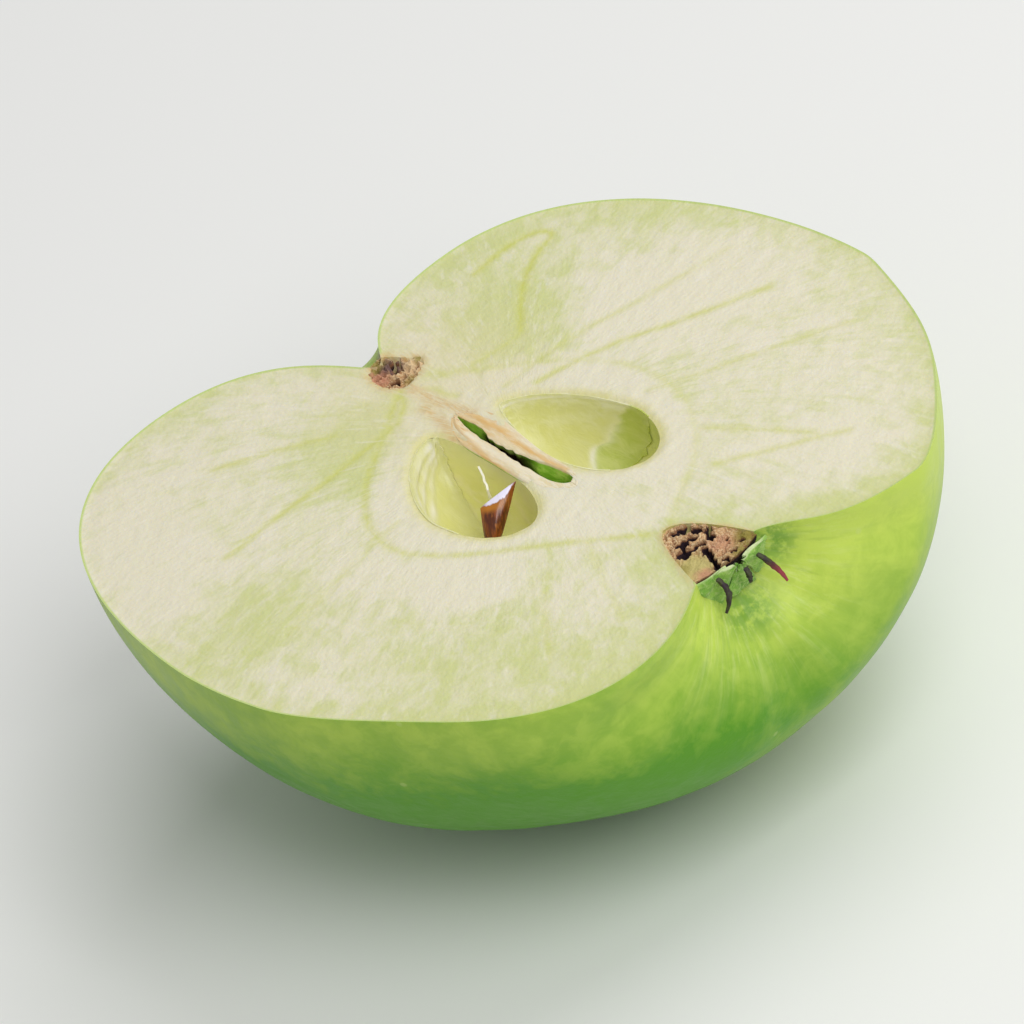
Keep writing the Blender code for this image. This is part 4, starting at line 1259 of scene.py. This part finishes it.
def wall_finish(name, near_colour, deep_shade_colour, looks, gloss):
    """Smooth wet wall of a chamber: the near colour at the cut, the deep one below as painted shade that
    darkens the wall with depth, with fine streaks along the core line."""
    finish = Finish(name)
    streak = finish.noise(1.1, 4.0, 0.6, at=finish.drawn(1.0, 0.25, 0.7), warp=0.5)
    # Painted shade: the wall turns to the deep colour further down the hole.
    depth = finish.span(finish.part(2), -5.5, -0.2, 1.0, 0.0)
    colour = finish.tint(near_colour, deep_shade_colour, depth)
    colour = finish.tint(colour, looks.pale_streak, finish.span(streak, 0.48, 0.75, 0.0, 0.5))
    colour = finish.tint(colour, looks.round_end, finish.near((9.6, -5.0, -1.5), 1.0, 6.0), 0.7)
    finish.bump((streak, 0.12), (finish.noise(3.0, 2.0, 0.5), 0.02))
    return finish.set(Base_Color=colour, Roughness=gloss, Specular_IOR_Level=0.5, Coat_Weight=0.2,
                      Coat_Roughness=0.15, Subsurface_Weight=0.12,
                      Subsurface_Radius=(0.8, 1.0, 0.3), Subsurface_Scale=0.001)


def paper_finish(looks):
    """Chamber lining: thin satin membrane, pale yellow green, with painted shade that deepens it below,
    whitish on its crests and torn border, and green where it lies bare on the wall, both from point
    attributes."""
    finish = Finish("chamber_paper")
    streak = finish.noise(1.0, 4.0, 0.6, at=finish.drawn(1.0, 0.3, 0.8), warp=0.5)
    colour = finish.tint(looks.lining, looks.lining_pale, finish.span(streak, 0.38, 0.68))
    # Painted shade: the lining darkens towards the chamber's floor.
    deep = finish.span(finish.part(2), -6.0, -1.6, 1.0, 0.0)
    colour = finish.tint(colour, looks.lining_deep_shade, deep, 0.75)
    bare = finish.tint(looks.round_end, looks.bare_green, finish.span(streak, 0.35, 0.7))
    colour = finish.tint(colour, bare, finish.value("bare"))
    colour = finish.tint(colour, looks.lining_edge, finish.value("edge"), 0.95)
    finish.bump((streak, 0.10))
    return finish.set(Base_Color=colour, Roughness=0.34, Specular_IOR_Level=0.45, Coat_Weight=0.12,
                      Coat_Roughness=0.2, Subsurface_Weight=0.2,
                      Subsurface_Radius=(0.9, 1.0, 0.4), Subsurface_Scale=0.0008)


def carpel_finish(looks):
    """Carpel wall: peach and tan fibres near the stem with brown spots, cream further on. Its face in the
    slit is green towards the calyx, with painted shade that turns it dark brown in the middle and deep down."""
    finish = Finish("carpel_wall_fibres")
    stretched = finish.drawn(1.0, 0.22, 1.0)
    fibre = finish.noise(1.7, 4.0, 0.6, at=stretched, warp=0.3)
    fine = finish.noise(4.0, 2.0, 0.6, at=stretched)
    length, height = finish.part(1), finish.part(2)
    colour = finish.tint(looks.wall_cream, looks.wall_pale, finish.span(fine, 0.35, 0.7))
    tan = finish.times(finish.span(length, -4.0, 8.5), finish.span(fibre, 0.36, 0.62, 0.3, 1.0))
    colour = finish.tint(colour, looks.wall_tan, tan, 0.75)
    brown = finish.times(finish.span(length, 4.5, 9.0), finish.span(fine, 0.54, 0.70))
    colour = finish.tint(colour, looks.wall_brown, brown, 0.7)
    lined = finish.span(fibre, 0.34, 0.6, 0.4, 1.0)
    colour = finish.tint(colour, looks.wall_tan, finish.value("tan"), lined)
    colour = finish.tint(colour, looks.wall_pale, finish.value("white"), 0.8)
    low = finish.span(height, -0.36, -0.22, 1.0, 0.0)
    # Painted shade: the slit's face turns dark brown low in the middle and deep down.
    middle = finish.times(finish.span(length, -2.4, 0.2), finish.span(length, 6.4, 5.0))
    ragged = finish.sum("MULTIPLY_ADD", fibre, 0.8, height)
    dark = finish.times(middle, finish.span(ragged, -0.5, 0.1, 1.0, 0.0))
    green = finish.tint(looks.slit_green, looks.slit_bright, finish.span(fibre, 0.4, 0.65))
    colour = finish.tint(colour, green, low)
    deep = finish.sum("MAXIMUM", dark, finish.span(height, -3.4, -2.4, 1.0, 0.0))
    colour = finish.tint(colour, looks.slit_shade_dark, deep)
    finish.bump((fibre, 0.10), (fine, 0.04))
    return finish.set(Base_Color=colour, Roughness=0.5, Specular_IOR_Level=0.4,
                      Subsurface_Weight=0.12, Subsurface_Radius=(1.0, 0.7, 0.35),
                      Subsurface_Scale=0.0008)


def seed_finish(looks):
    """Seed coat: glossy red brown with dark and light streaks down to the foot, a painted whitish highlight
    on the upper facet that turns violet at its border, and a painted amber highlight in a band below it."""
    finish = Finish("seed_coat_gloss")
    top, across = (Vector(SEED_TIP) + Vector(SEED_CORNER)) / 2, Vector(SEED_CORNER) - Vector(SEED_TIP)
    axis = (Vector(SEED_FOOT) - top).normalized()
    square = across.cross(axis).cross(across).normalized()
    away = finish.vector("SUBTRACT", finish.spot, tuple(top))
    below = finish.vector("DOT_PRODUCT", away, tuple(square))
    drawn = finish.vector("SCALE", tuple(axis))
    finish.put(drawn.node.inputs["Scale"], finish.times(below, -0.86))
    stretched = finish.vector("ADD", finish.spot, drawn)
    streak = finish.noise(1.6, 3.0, 0.6, at=stretched)
    colour = finish.tint(looks.seed_dark, looks.seed_brown, finish.span(streak, 0.38, 0.62))
    light = finish.span(finish.noise(2.4, 2.0, 0.6, at=stretched), 0.55, 0.72, 0.0, 0.7)
    colour = finish.tint(colour, looks.seed_light, light)
    side = finish.vector("DOT_PRODUCT", away, tuple(across.normalized()))
    # Painted amber highlight in a band below the facet, stronger towards one end.
    below = finish.sum("MULTIPLY_ADD", finish.times(side, side), 0.15, below)
    band = finish.times(finish.span(below, 0.4, 0.6), finish.span(below, 0.8, 1.5, 1.0, 0.0))
    colour = finish.tint(colour, looks.seed_amber_highlight, band, finish.span(side, -1.2, 1.6, 0.15, 1.0))
    # Painted whitish highlight on the upper facet, violet towards its ends.
    facet_highlight = finish.span(finish.sum("MULTIPLY_ADD", streak, 0.5, below), 0.66, 0.8, 1.0, 0.0)
    ends = finish.span(finish.sum("ABSOLUTE", side), 1.2, 2.0)
    colour = finish.tint(colour, finish.tint(looks.seed_facet_highlight, looks.seed_highlight_violet, ends), facet_highlight)
    finish.bump((streak, 0.05))
    return finish.set(Base_Color=colour, Roughness=0.3, Specular_IOR_Level=0.5, Coat_Weight=0.2,
                      Coat_Roughness=0.18)


def dry_finish(name, looks, areas, scale):
    """Dry tissue: painted shade that darkens its hollows, light on its crumbs, with areas of other tints."""
    finish = Finish(name)
    crumbs = finish.noise(scale, 4.0, 0.65, warp=0.5)
    fine = finish.noise(scale * 3, 2.0, 0.6)
    colour = finish.tint(looks.dry_brown, looks.dry_tan, finish.span(crumbs, 0.36, 0.58))
    colour = finish.tint(colour, looks.dry_light, finish.span(fine, 0.46, 0.64))
    colour = zones(finish, colour, looks, areas)
    # Painted shade in the hollows, from the depth of each point.
    hollow = finish.sum("MULTIPLY_ADD", fine, 0.25, finish.value("hollow"))
    colour = finish.tint(colour, looks.dry_brown, finish.span(hollow, 0.14, 0.3))
    colour = finish.tint(colour, looks.dry_dark_and_hollow_shade, finish.span(hollow, 0.24, 0.46))
    finish.bump((crumbs, 0.2), (fine, 0.08))
    return finish.set(Base_Color=colour, Roughness=0.82, Specular_IOR_Level=0.28)


def sepal_finish(looks):
    """Sepal: downy green, darker in patches, with pale veins and a thin pale cut edge."""
    finish = Finish("sepal_down")
    fine = finish.noise(2.2, 4.0, 0.65, warp=0.4)
    patch = finish.noise(0.7, 3.0, 0.6)
    colour = finish.tint(looks.sepal_dark, looks.sepal_green, finish.span(patch, 0.38, 0.62))
    colour = finish.tint(colour, looks.sepal_pale, finish.span(fine, 0.48, 0.68, 0.0, 0.7))
    colour = finish.tint(colour, looks.sepal_edge, finish.span(finish.part(2), -0.34, -0.16))
    finish.bump((fine, 0.14))
    return finish.set(Base_Color=colour, Roughness=0.75, Specular_IOR_Level=0.3, Sheen_Weight=0.2,
                      Sheen_Roughness=0.5)


def down_finish(looks):
    """Down of the sepals: pale green hairs."""
    finish = Finish("sepal_hairs")
    colour = finish.tint(looks.hair, looks.sepal_pale, finish.span(finish.noise(0.8, 2.0, 0.5), 0.35, 0.65))
    return finish.set(Base_Color=colour, Roughness=0.7, Specular_IOR_Level=0.3)


def thread_finish(name, looks, red_end):
    """Withered thread: dark green and dark brown, one of them with a red end."""
    finish = Finish(name)
    patch = finish.noise(1.6, 3.0, 0.6)
    colour = finish.tint(looks.tip_dark, looks.dry_dark_and_hollow_shade, finish.span(patch, 0.4, 0.65))
    if red_end:
        colour = finish.tint(colour, looks.tip_red, finish.span(finish.part(2), -2.6, -0.8, 1.0, 0.0))
    finish.bump((finish.noise(5.0, 2.0, 0.6), 0.06))
    return finish.set(Base_Color=colour, Roughness=0.6)

# Settings that a user would change


def colour_setting(name, description, *value):
    """A colour that a user can change, from its screen colour of 0 to 255."""
    return bpy.props.FloatVectorProperty(name=name, description=description, subtype="COLOR",
                                         size=3, min=0.0, max=1.0, default=tone(*value))


class AppleFleshLooks(bpy.types.PropertyGroup):
    cream: colour_setting("Cream", "Main colour of the cut flesh", 229, 223, 198)
    green_cream: colour_setting("Green cream", "Flesh in the greener streaks and by the skin", 206, 210, 146)
    yellow_cream: colour_setting("Yellow cream", "Flesh round the stem", 222, 213, 170)
    pale: colour_setting("Pale", "Whitest streaks of the flesh", 234, 229, 214)
    tan: colour_setting("Tan", "Browned fibres between stem and core", 213, 184, 130)
    bundle_green: colour_setting("Bundle green", "Fine bundles in the flesh", 202, 205, 98)
    lip_yellow: colour_setting("Lip yellow", "Flesh at the rims of the seed chambers", 218, 212, 140)
    edge_green: colour_setting("Cut skin", "Thin line of skin round the cut face", 190, 208, 128)
    bundle_strength: bpy.props.FloatProperty(
        name="Bundle strength", description="How clearly the bundles show", min=0.0, max=1.0,
        default=0.8, subtype="FACTOR")


class AppleSkinLooks(bpy.types.PropertyGroup):
    # The two greens are the ends of a mix that also carries painted light by the cut and on the right and
    # painted shade below and on the left.
    bright_green: colour_setting("Bright green", "Lighter clouds of the skin", 196, 218, 90)
    deep_and_shaded_green: colour_setting("Deep green", "Deeper clouds of the skin", 84, 150, 4)
    streak: colour_setting("Basin streaks", "Pale streaks round the basin", 216, 228, 150)
    # Green of the basin's streaks, which also paints the shade in the hollows of the basin and the stem pit.
    basin_and_shade_green: colour_setting("Basin green", "Skin inside the basin and the stem pit", 98, 150, 48)
    russet: colour_setting("Russet", "Browned skin at the bottom of the stem pit", 150, 124, 76)
    pore: colour_setting("Pores", "Small pale pores", 196, 214, 130)
    dark_pore: colour_setting("Dark pores", "Few small dark specks", 70, 92, 40)
    wrinkle_depth: bpy.props.FloatProperty(
        name="Wrinkle depth", description="Depth of the fine wrinkles round the basin, in millimetres",
        min=0.0, max=0.6, default=0.12)


class AppleCoreLooks(bpy.types.PropertyGroup):
    wall_near: colour_setting("Chamber wall", "Wall of the seed chambers near the cut", 240, 238, 178)
    wall_deep_shade: colour_setting("Chamber floor", "Deep in the seed chambers", 228, 226, 142)
    round_end: colour_setting("Round end", "Bare round end of the right chamber", 186, 200, 88)
    bare_green: colour_setting("Bare wall", "Paler parts of the bare round end", 206, 214, 128)
    pale_streak: colour_setting("Wall streaks", "Fine pale streaks on the chamber walls", 240, 232, 196)
    lining: colour_setting("Lining", "Papery lining of the chambers", 229, 228, 158)
    lining_pale: colour_setting("Pale lining", "Lighter streaks of the lining", 240, 238, 190)
    lining_deep_shade: colour_setting("Deep lining", "Lining at the bottom of the chambers", 216, 215, 130)
    lining_edge: colour_setting("Lining edge", "Crests and torn border of the lining", 250, 246, 226)
    wall_cream: colour_setting("Carpel cream", "Carpel walls further from the stem", 226, 212, 172)
    wall_pale: colour_setting("Carpel pale", "Palest fibres of the carpel walls", 236, 226, 200)
    wall_tan: colour_setting("Carpel tan", "Browned fibres near the stem", 222, 182, 116)
    wall_brown: colour_setting("Carpel brown", "Brown spots at the head of the slit", 190, 140, 76)
    slit_green: colour_setting("Slit green", "Faces of the slit", 150, 196, 60)
    slit_bright: colour_setting("Bright slit green", "Lighter streaks of the slit's faces", 200, 222, 110)
    # Painted shade deep in the slit, on the slit's walls and the carpel walls' faces.
    slit_shade_dark: colour_setting("Slit depth", "Deep in the slit", 48, 28, 18)
    seed_brown: colour_setting("Seed", "Main colour of the seed", 138, 68, 22)
    seed_dark: colour_setting("Seed dark", "Dark streaks of the seed", 88, 40, 14)
    seed_light: colour_setting("Seed light", "Light streaks of the seed", 186, 112, 44)
    # The amber, the pale facet and the violet colours are painted highlights on the seed.
    seed_amber_highlight: colour_setting("Seed amber", "Amber band below the facet", 186, 116, 30)
    seed_facet_highlight: colour_setting("Seed bloom", "Pale upper facet of the seed", 236, 230, 250)
    seed_highlight_violet: colour_setting("Seed violet", "Ends of the pale facet", 168, 126, 130)


class AppleEndLooks(bpy.types.PropertyGroup):
    # Dark colour of the withered tips, which also paints the shade in the hollows of the stem and the dry
    # flower.
    dry_dark_and_hollow_shade: colour_setting("Dry dark", "Hollows of the stem and the dry flower", 46, 30, 38)
    dry_brown: colour_setting("Dry brown", "Stem and dry flower", 150, 104, 72)
    dry_tan: colour_setting("Dry tan", "Middle tone of the dry parts", 204, 164, 118)
    dry_light: colour_setting("Dry light", "Crumbs of the stem and the dry flower", 226, 200, 158)
    dry_olive: colour_setting("Dry olive", "Olive parts of the stem and the dry flower", 146, 136, 58)
    dry_pink: colour_setting("Dry pink", "Pinkish parts of the stem and the dry flower", 200, 142, 114)
    dry_cream: colour_setting("Dry cream", "Smooth lip of the dry flower", 196, 186, 116)
    dry_violet: colour_setting("Dry violet", "Greyish violet heart of the stem", 104, 78, 80)
    tip_dark: colour_setting("Dark tip", "Withered sepal tips", 60, 62, 30)
    tip_red: colour_setting("Red tip", "Red end of the right tip", 152, 52, 66)
    sepal_green: colour_setting("Sepal", "Downy sepals", 146, 188, 78)
    sepal_dark: colour_setting("Sepal dark", "Shaded parts of the sepals", 112, 162, 54)
    sepal_pale: colour_setting("Sepal veins", "Pale veins of the sepals", 182, 204, 124)
    sepal_edge: colour_setting("Sepal edge", "Cut edge of the sepals", 214, 228, 170)
    hair: colour_setting("Down", "Fine hairs of the sepals", 176, 204, 120)
    hair_length: bpy.props.FloatProperty(
        name="Hair length", description="Longest hair of the sepals, in millimetres",
        min=0.1, max=2.0, default=0.7)
    hair_count: bpy.props.IntProperty(
        name="Hairs", description="Hairs on each sepal", min=0, max=600, default=300)


class AppleStageLooks(bpy.types.PropertyGroup):
    floor: colour_setting("Floor", "Plain pale floor", 240, 240, 238)
    key: bpy.props.FloatProperty(
        name="Key light", description="Strength of the soft light on the near side", min=0.0, default=3.0,
        subtype="POWER", unit="POWER")
    top: bpy.props.FloatProperty(
        name="Top light", description="Strength of the soft light overhead", min=0.0, default=2.4,
        subtype="POWER", unit="POWER")
    sky: bpy.props.FloatProperty(
        name="Surrounding light", description="Strength of the even light from all round", min=0.0,
        default=0.36)
    distance: bpy.props.FloatProperty(
        name="Camera distance", description="From the camera to the cut face", min=0.2, default=VIEW_DISTANCE,
        unit="LENGTH", subtype="DISTANCE")


# Operators


def direction(bearing, height):
    """The way from the middle out to a bearing, from -Y towards +X, and a height in degrees."""
    bearing, height = radians(bearing), radians(height)
    return Vector((sin(bearing) * cos(height), -cos(bearing) * cos(height), sin(height)))


class APPLE_OT_body(bpy.types.Operator):
    """Build the flesh, the skin and the walls of the chambers and the bell as one closed piece"""
    bl_idname = "apple.body"
    bl_label = "Flesh and skin"

    def execute(self, context):
        scene = context.scene
        core, ends = scene.apple_core, scene.apple_ends
        points, sets, rim, holes, bell = apple_body(scene.apple_skin.wrinkle_depth)
        finishes = (
            flesh_finish(scene.apple_flesh),
            skin_finish(scene.apple_skin),
            # The deep colour of each wall is painted shade further down.
            wall_finish("chamber_wall", core.wall_near, core.wall_deep_shade, core, 0.3),
            wall_finish("bell_wall", ends.dry_cream, ends.dry_brown, core, 0.6),
            wall_finish("slit_wall", core.slit_green, core.slit_shade_dark, core, 0.5),
        )
        make_piece("apple_flesh_and_skin", points, sets, finishes, ["apple_half"],
                   sharp=BODY_SHARP_ANGLE, marks=body_marks(points, rim, holes, bell), top=0.0)
        return {"FINISHED"}


class APPLE_OT_linings(bpy.types.Operator):
    """Build the papery linings of both seed chambers"""
    bl_idname = "apple.linings"
    bl_label = "Chamber linings"

    def execute(self, context):
        finish = paper_finish(context.scene.apple_core)
        thread = ribbon(LOOSE_THREAD, THREAD_FOOT, THREAD_THICKNESS, 97)
        for name, chamber, sector, folds, tear, seed, more in (
                ("chamber_lining_right", RIGHT_CHAMBER, RIGHT_LINING, RIGHT_FOLDS, RIGHT_TEAR, 81, ()),
                ("chamber_lining_left", LEFT_CHAMBER, LEFT_LINING, LEFT_FOLDS, (), 91, (thread,))):
            shell, marks = membrane(chamber, sector, folds, tear, seed)
            points, sets = gather(shell, *more)
            extra = np.ones(len(points) - len(shell[0]))
            marks = {"edge": np.concatenate([marks["edge"], 0.8 * extra]),
                     "bare": np.concatenate([marks["bare"], 0.0 * extra])}
            make_piece(name + "_paper", points, sets, [finish], [name], marks=marks)
        return {"FINISHED"}


class APPLE_OT_carpel_walls(bpy.types.Operator):
    """Build the fibrous walls on both sides of the slit"""
    bl_idname = "apple.carpel_walls"
    bl_label = "Carpel walls"

    def execute(self, context):
        finish = carpel_finish(context.scene.apple_core)
        for side in ("right", "left"):
            points, sets = gather(carpel_wall(side))
            marks = {key: line_mark(points[:, :2], lines, 0.35) for key, lines in WALL_LINES.items()}
            make_piece(f"carpel_wall_{side}_fibres", points, sets, [finish],
                       [f"carpel_wall_{side}"], marks=marks)
        return {"FINISHED"}


class APPLE_OT_seed(bpy.types.Operator):
    """Build the seed in the left chamber"""
    bl_idname = "apple.seed"
    bl_label = "Seed"

    def execute(self, context):
        points, sets = gather(seed_shard())
        make_piece("seed_coat_shard", points, sets, [seed_finish(context.scene.apple_core)],
                   ["seed"], sharp=SEED_SHARP_ANGLE)
        return {"FINISHED"}


class APPLE_OT_stem(bpy.types.Operator):
    """Build the broken stem at the bottom of its pit"""
    bl_idname = "apple.stem"
    bl_label = "Stem stub"

    def execute(self, context):
        outline = bend(STUB_OUTLINE, 150, closed=True)
        points, sets = gather(plug(outline, STUB_CENTRE, stub_relief, STUB_DEPTH))
        finish = dry_finish("stem_crumbs", context.scene.apple_ends, STUB_TINTS, 1.7)
        make_piece("stem_stub_crumbs", points, sets, [finish], ["stem_stub"],
                   marks={"hollow": hollow_shade_mark(points, 0.45, 2.2, 2.0)})
        return {"FINISHED"}


class APPLE_OT_dry_flower(bpy.types.Operator):
    """Build the dry flower remains in the bell and the withered sepal tips"""
    bl_idname = "apple.dry_flower"
    bl_label = "Dry flower"

    def execute(self, context):
        looks = context.scene.apple_ends
        points, sets = gather(plug(tissue_outline(), TISSUE_CENTRE, tissue_relief, TISSUE_DEPTH, rings=64))
        finish = dry_finish("dry_flower_crumbs", looks, TISSUE_TINTS, 1.9)
        make_piece("calyx_stamens_crumbs", points, sets, [finish], ["calyx_stamens"],
                   marks={"hollow": hollow_shade_mark(points, 0.34, 0.7, 2.6)})
        for number, (name, stations) in enumerate(DRY_TIPS.items()):
            points, sets = gather(dry_thread(stations, DRY_TIP_RADII, 101 + number))
            finish = thread_finish(name + "_withered", looks, name == "dry_tip_right")
            make_piece(name + "_thread", points, sets, [finish], [name])
        return {"FINISHED"}


class APPLE_OT_sepals(bpy.types.Operator):
    """Build the three downy sepals that close the bell"""
    bl_idname = "apple.sepals"
    bl_label = "Sepals"

    def execute(self, context):
        looks = context.scene.apple_ends
        finishes = [sepal_finish(looks), down_finish(looks)]
        for number, (name, (bearing, reach)) in enumerate(SEPALS.items()):
            rows = sepal_leaf(bearing, reach, 111 + 3 * number)
            leaf_points, leaf_faces = sheet(rows, SEPAL_THICKNESS)
            points, *down = sepal_down(rows, looks.hair_count, looks.hair_length, 121 + number)
            sets = [(leaf_faces, 0)] + [(faces + len(leaf_points), 1) for faces in down]
            make_piece(name + "_leaf", np.concatenate([leaf_points, points]), sets, finishes,
                       [name], shells=True)
        return {"FINISHED"}


class APPLE_OT_stage(bpy.types.Operator):
    """Set the pale floor, the soft light and the camera"""
    bl_idname = "apple.stage"
    bl_label = "Stage"

    def execute(self, context):
        looks = context.scene.apple_stage
        scene = context.scene
        corners = [(FLOOR_REACH * x, FLOOR_REACH * y, 0.0) for x, y in ((-1, -1), (1, -1), (1, 1), (-1, 1))]
        mesh = bpy.data.meshes.new("pale_floor")
        mesh.from_pydata(corners, [], [(0, 1, 2, 3)])
        floor = bpy.data.objects.new("pale_floor", mesh)
        scene.collection.objects.link(floor)
        finish = Finish("pale_floor")
        mesh.materials.append(finish.set(Base_Color=looks.floor, Roughness=0.9, Specular_IOR_Level=0.2))
        world = bpy.data.worlds.new("even_light")
        world.use_nodes = True
        world.node_tree.nodes["Background"].inputs[0].default_value = (1.0, 1.0, 1.0, 1.0)
        world.node_tree.nodes["Background"].inputs[1].default_value = looks.sky
        scene.world = world
        scene.view_settings.view_transform = "Standard"
        for name, (bearing, height, distance, size) in SOFTBOXES.items():
            light = bpy.data.lights.new(name + "_softbox", "AREA")
            light.shape = "SQUARE"
            light.size = size
            light.energy = getattr(looks, name)
            lamp = bpy.data.objects.new(name + "_softbox", light)
            away = direction(bearing, height)
            lamp.location = Vector(LIGHT_TARGET) + away * distance
            lamp.rotation_euler = away.to_track_quat("Z", "Y").to_euler()
            scene.collection.objects.link(lamp)

        bearing, roll = radians(VIEW_BEARING), radians(VIEW_ROLL)
        back = direction(VIEW_BEARING, VIEW_HEIGHT)
        right = Vector((cos(bearing), sin(bearing), 0.0))
        up = back.cross(right)
        side, top = right * cos(roll) + up * sin(roll), up * cos(roll) - right * sin(roll)
        centre = Vector(place(VIEW_SPOT)) + side * VIEW_OFFSET[0] + top * VIEW_OFFSET[1]
        data = bpy.data.cameras.new("photo_view")
        data.sensor_width = SENSOR
        data.lens = looks.distance * PIXELS_PER_METRE / PICTURE_PIXELS * SENSOR
        data.clip_start, data.clip_end = 0.01, 20.0
        camera = bpy.data.objects.new("photo_view", data)
        turn = Matrix((side, top, back)).transposed()
        camera.matrix_world = turn.to_4x4()
        camera.location = centre + back * looks.distance
        scene.collection.objects.link(camera)
        scene.camera = camera
        return {"FINISHED"}


OPERATORS = (APPLE_OT_body, APPLE_OT_linings, APPLE_OT_carpel_walls, APPLE_OT_seed, APPLE_OT_stem,
             APPLE_OT_dry_flower, APPLE_OT_sepals, APPLE_OT_stage)
LOOKS = {"apple_flesh": AppleFleshLooks, "apple_skin": AppleSkinLooks, "apple_core": AppleCoreLooks,
         "apple_ends": AppleEndLooks, "apple_stage": AppleStageLooks}


class APPLE_PT_looks(bpy.types.Panel):
    """Settings and steps for the apple half"""
    bl_label = "Apple half"
    bl_idname = "APPLE_PT_looks"
    bl_space_type = "VIEW_3D"
    bl_region_type = "UI"
    bl_category = "Apple"

    def draw(self, context):
        for name, group in LOOKS.items():
            box = self.layout.box()
            box.label(text=name.replace("_", " ").capitalize())
            for setting in group.__annotations__:
                box.prop(getattr(context.scene, name), setting)
        for operator in OPERATORS:
            self.layout.operator(operator.bl_idname)


def register():
    for group in (*LOOKS.values(), *OPERATORS, APPLE_PT_looks):
        bpy.utils.register_class(group)
    for name, group in LOOKS.items():
        setattr(bpy.types.Scene, name, bpy.props.PointerProperty(type=group))


def unregister():
    for name in LOOKS:
        delattr(bpy.types.Scene, name)
    for group in (APPLE_PT_looks, *OPERATORS[::-1], *list(LOOKS.values())[::-1]):
        bpy.utils.unregister_class(group)


def main():
    register()
    for operator in OPERATORS:
        family, step = operator.bl_idname.split(".")
        getattr(getattr(bpy.ops, family), step)()


if __name__ == "__main__":
    main()
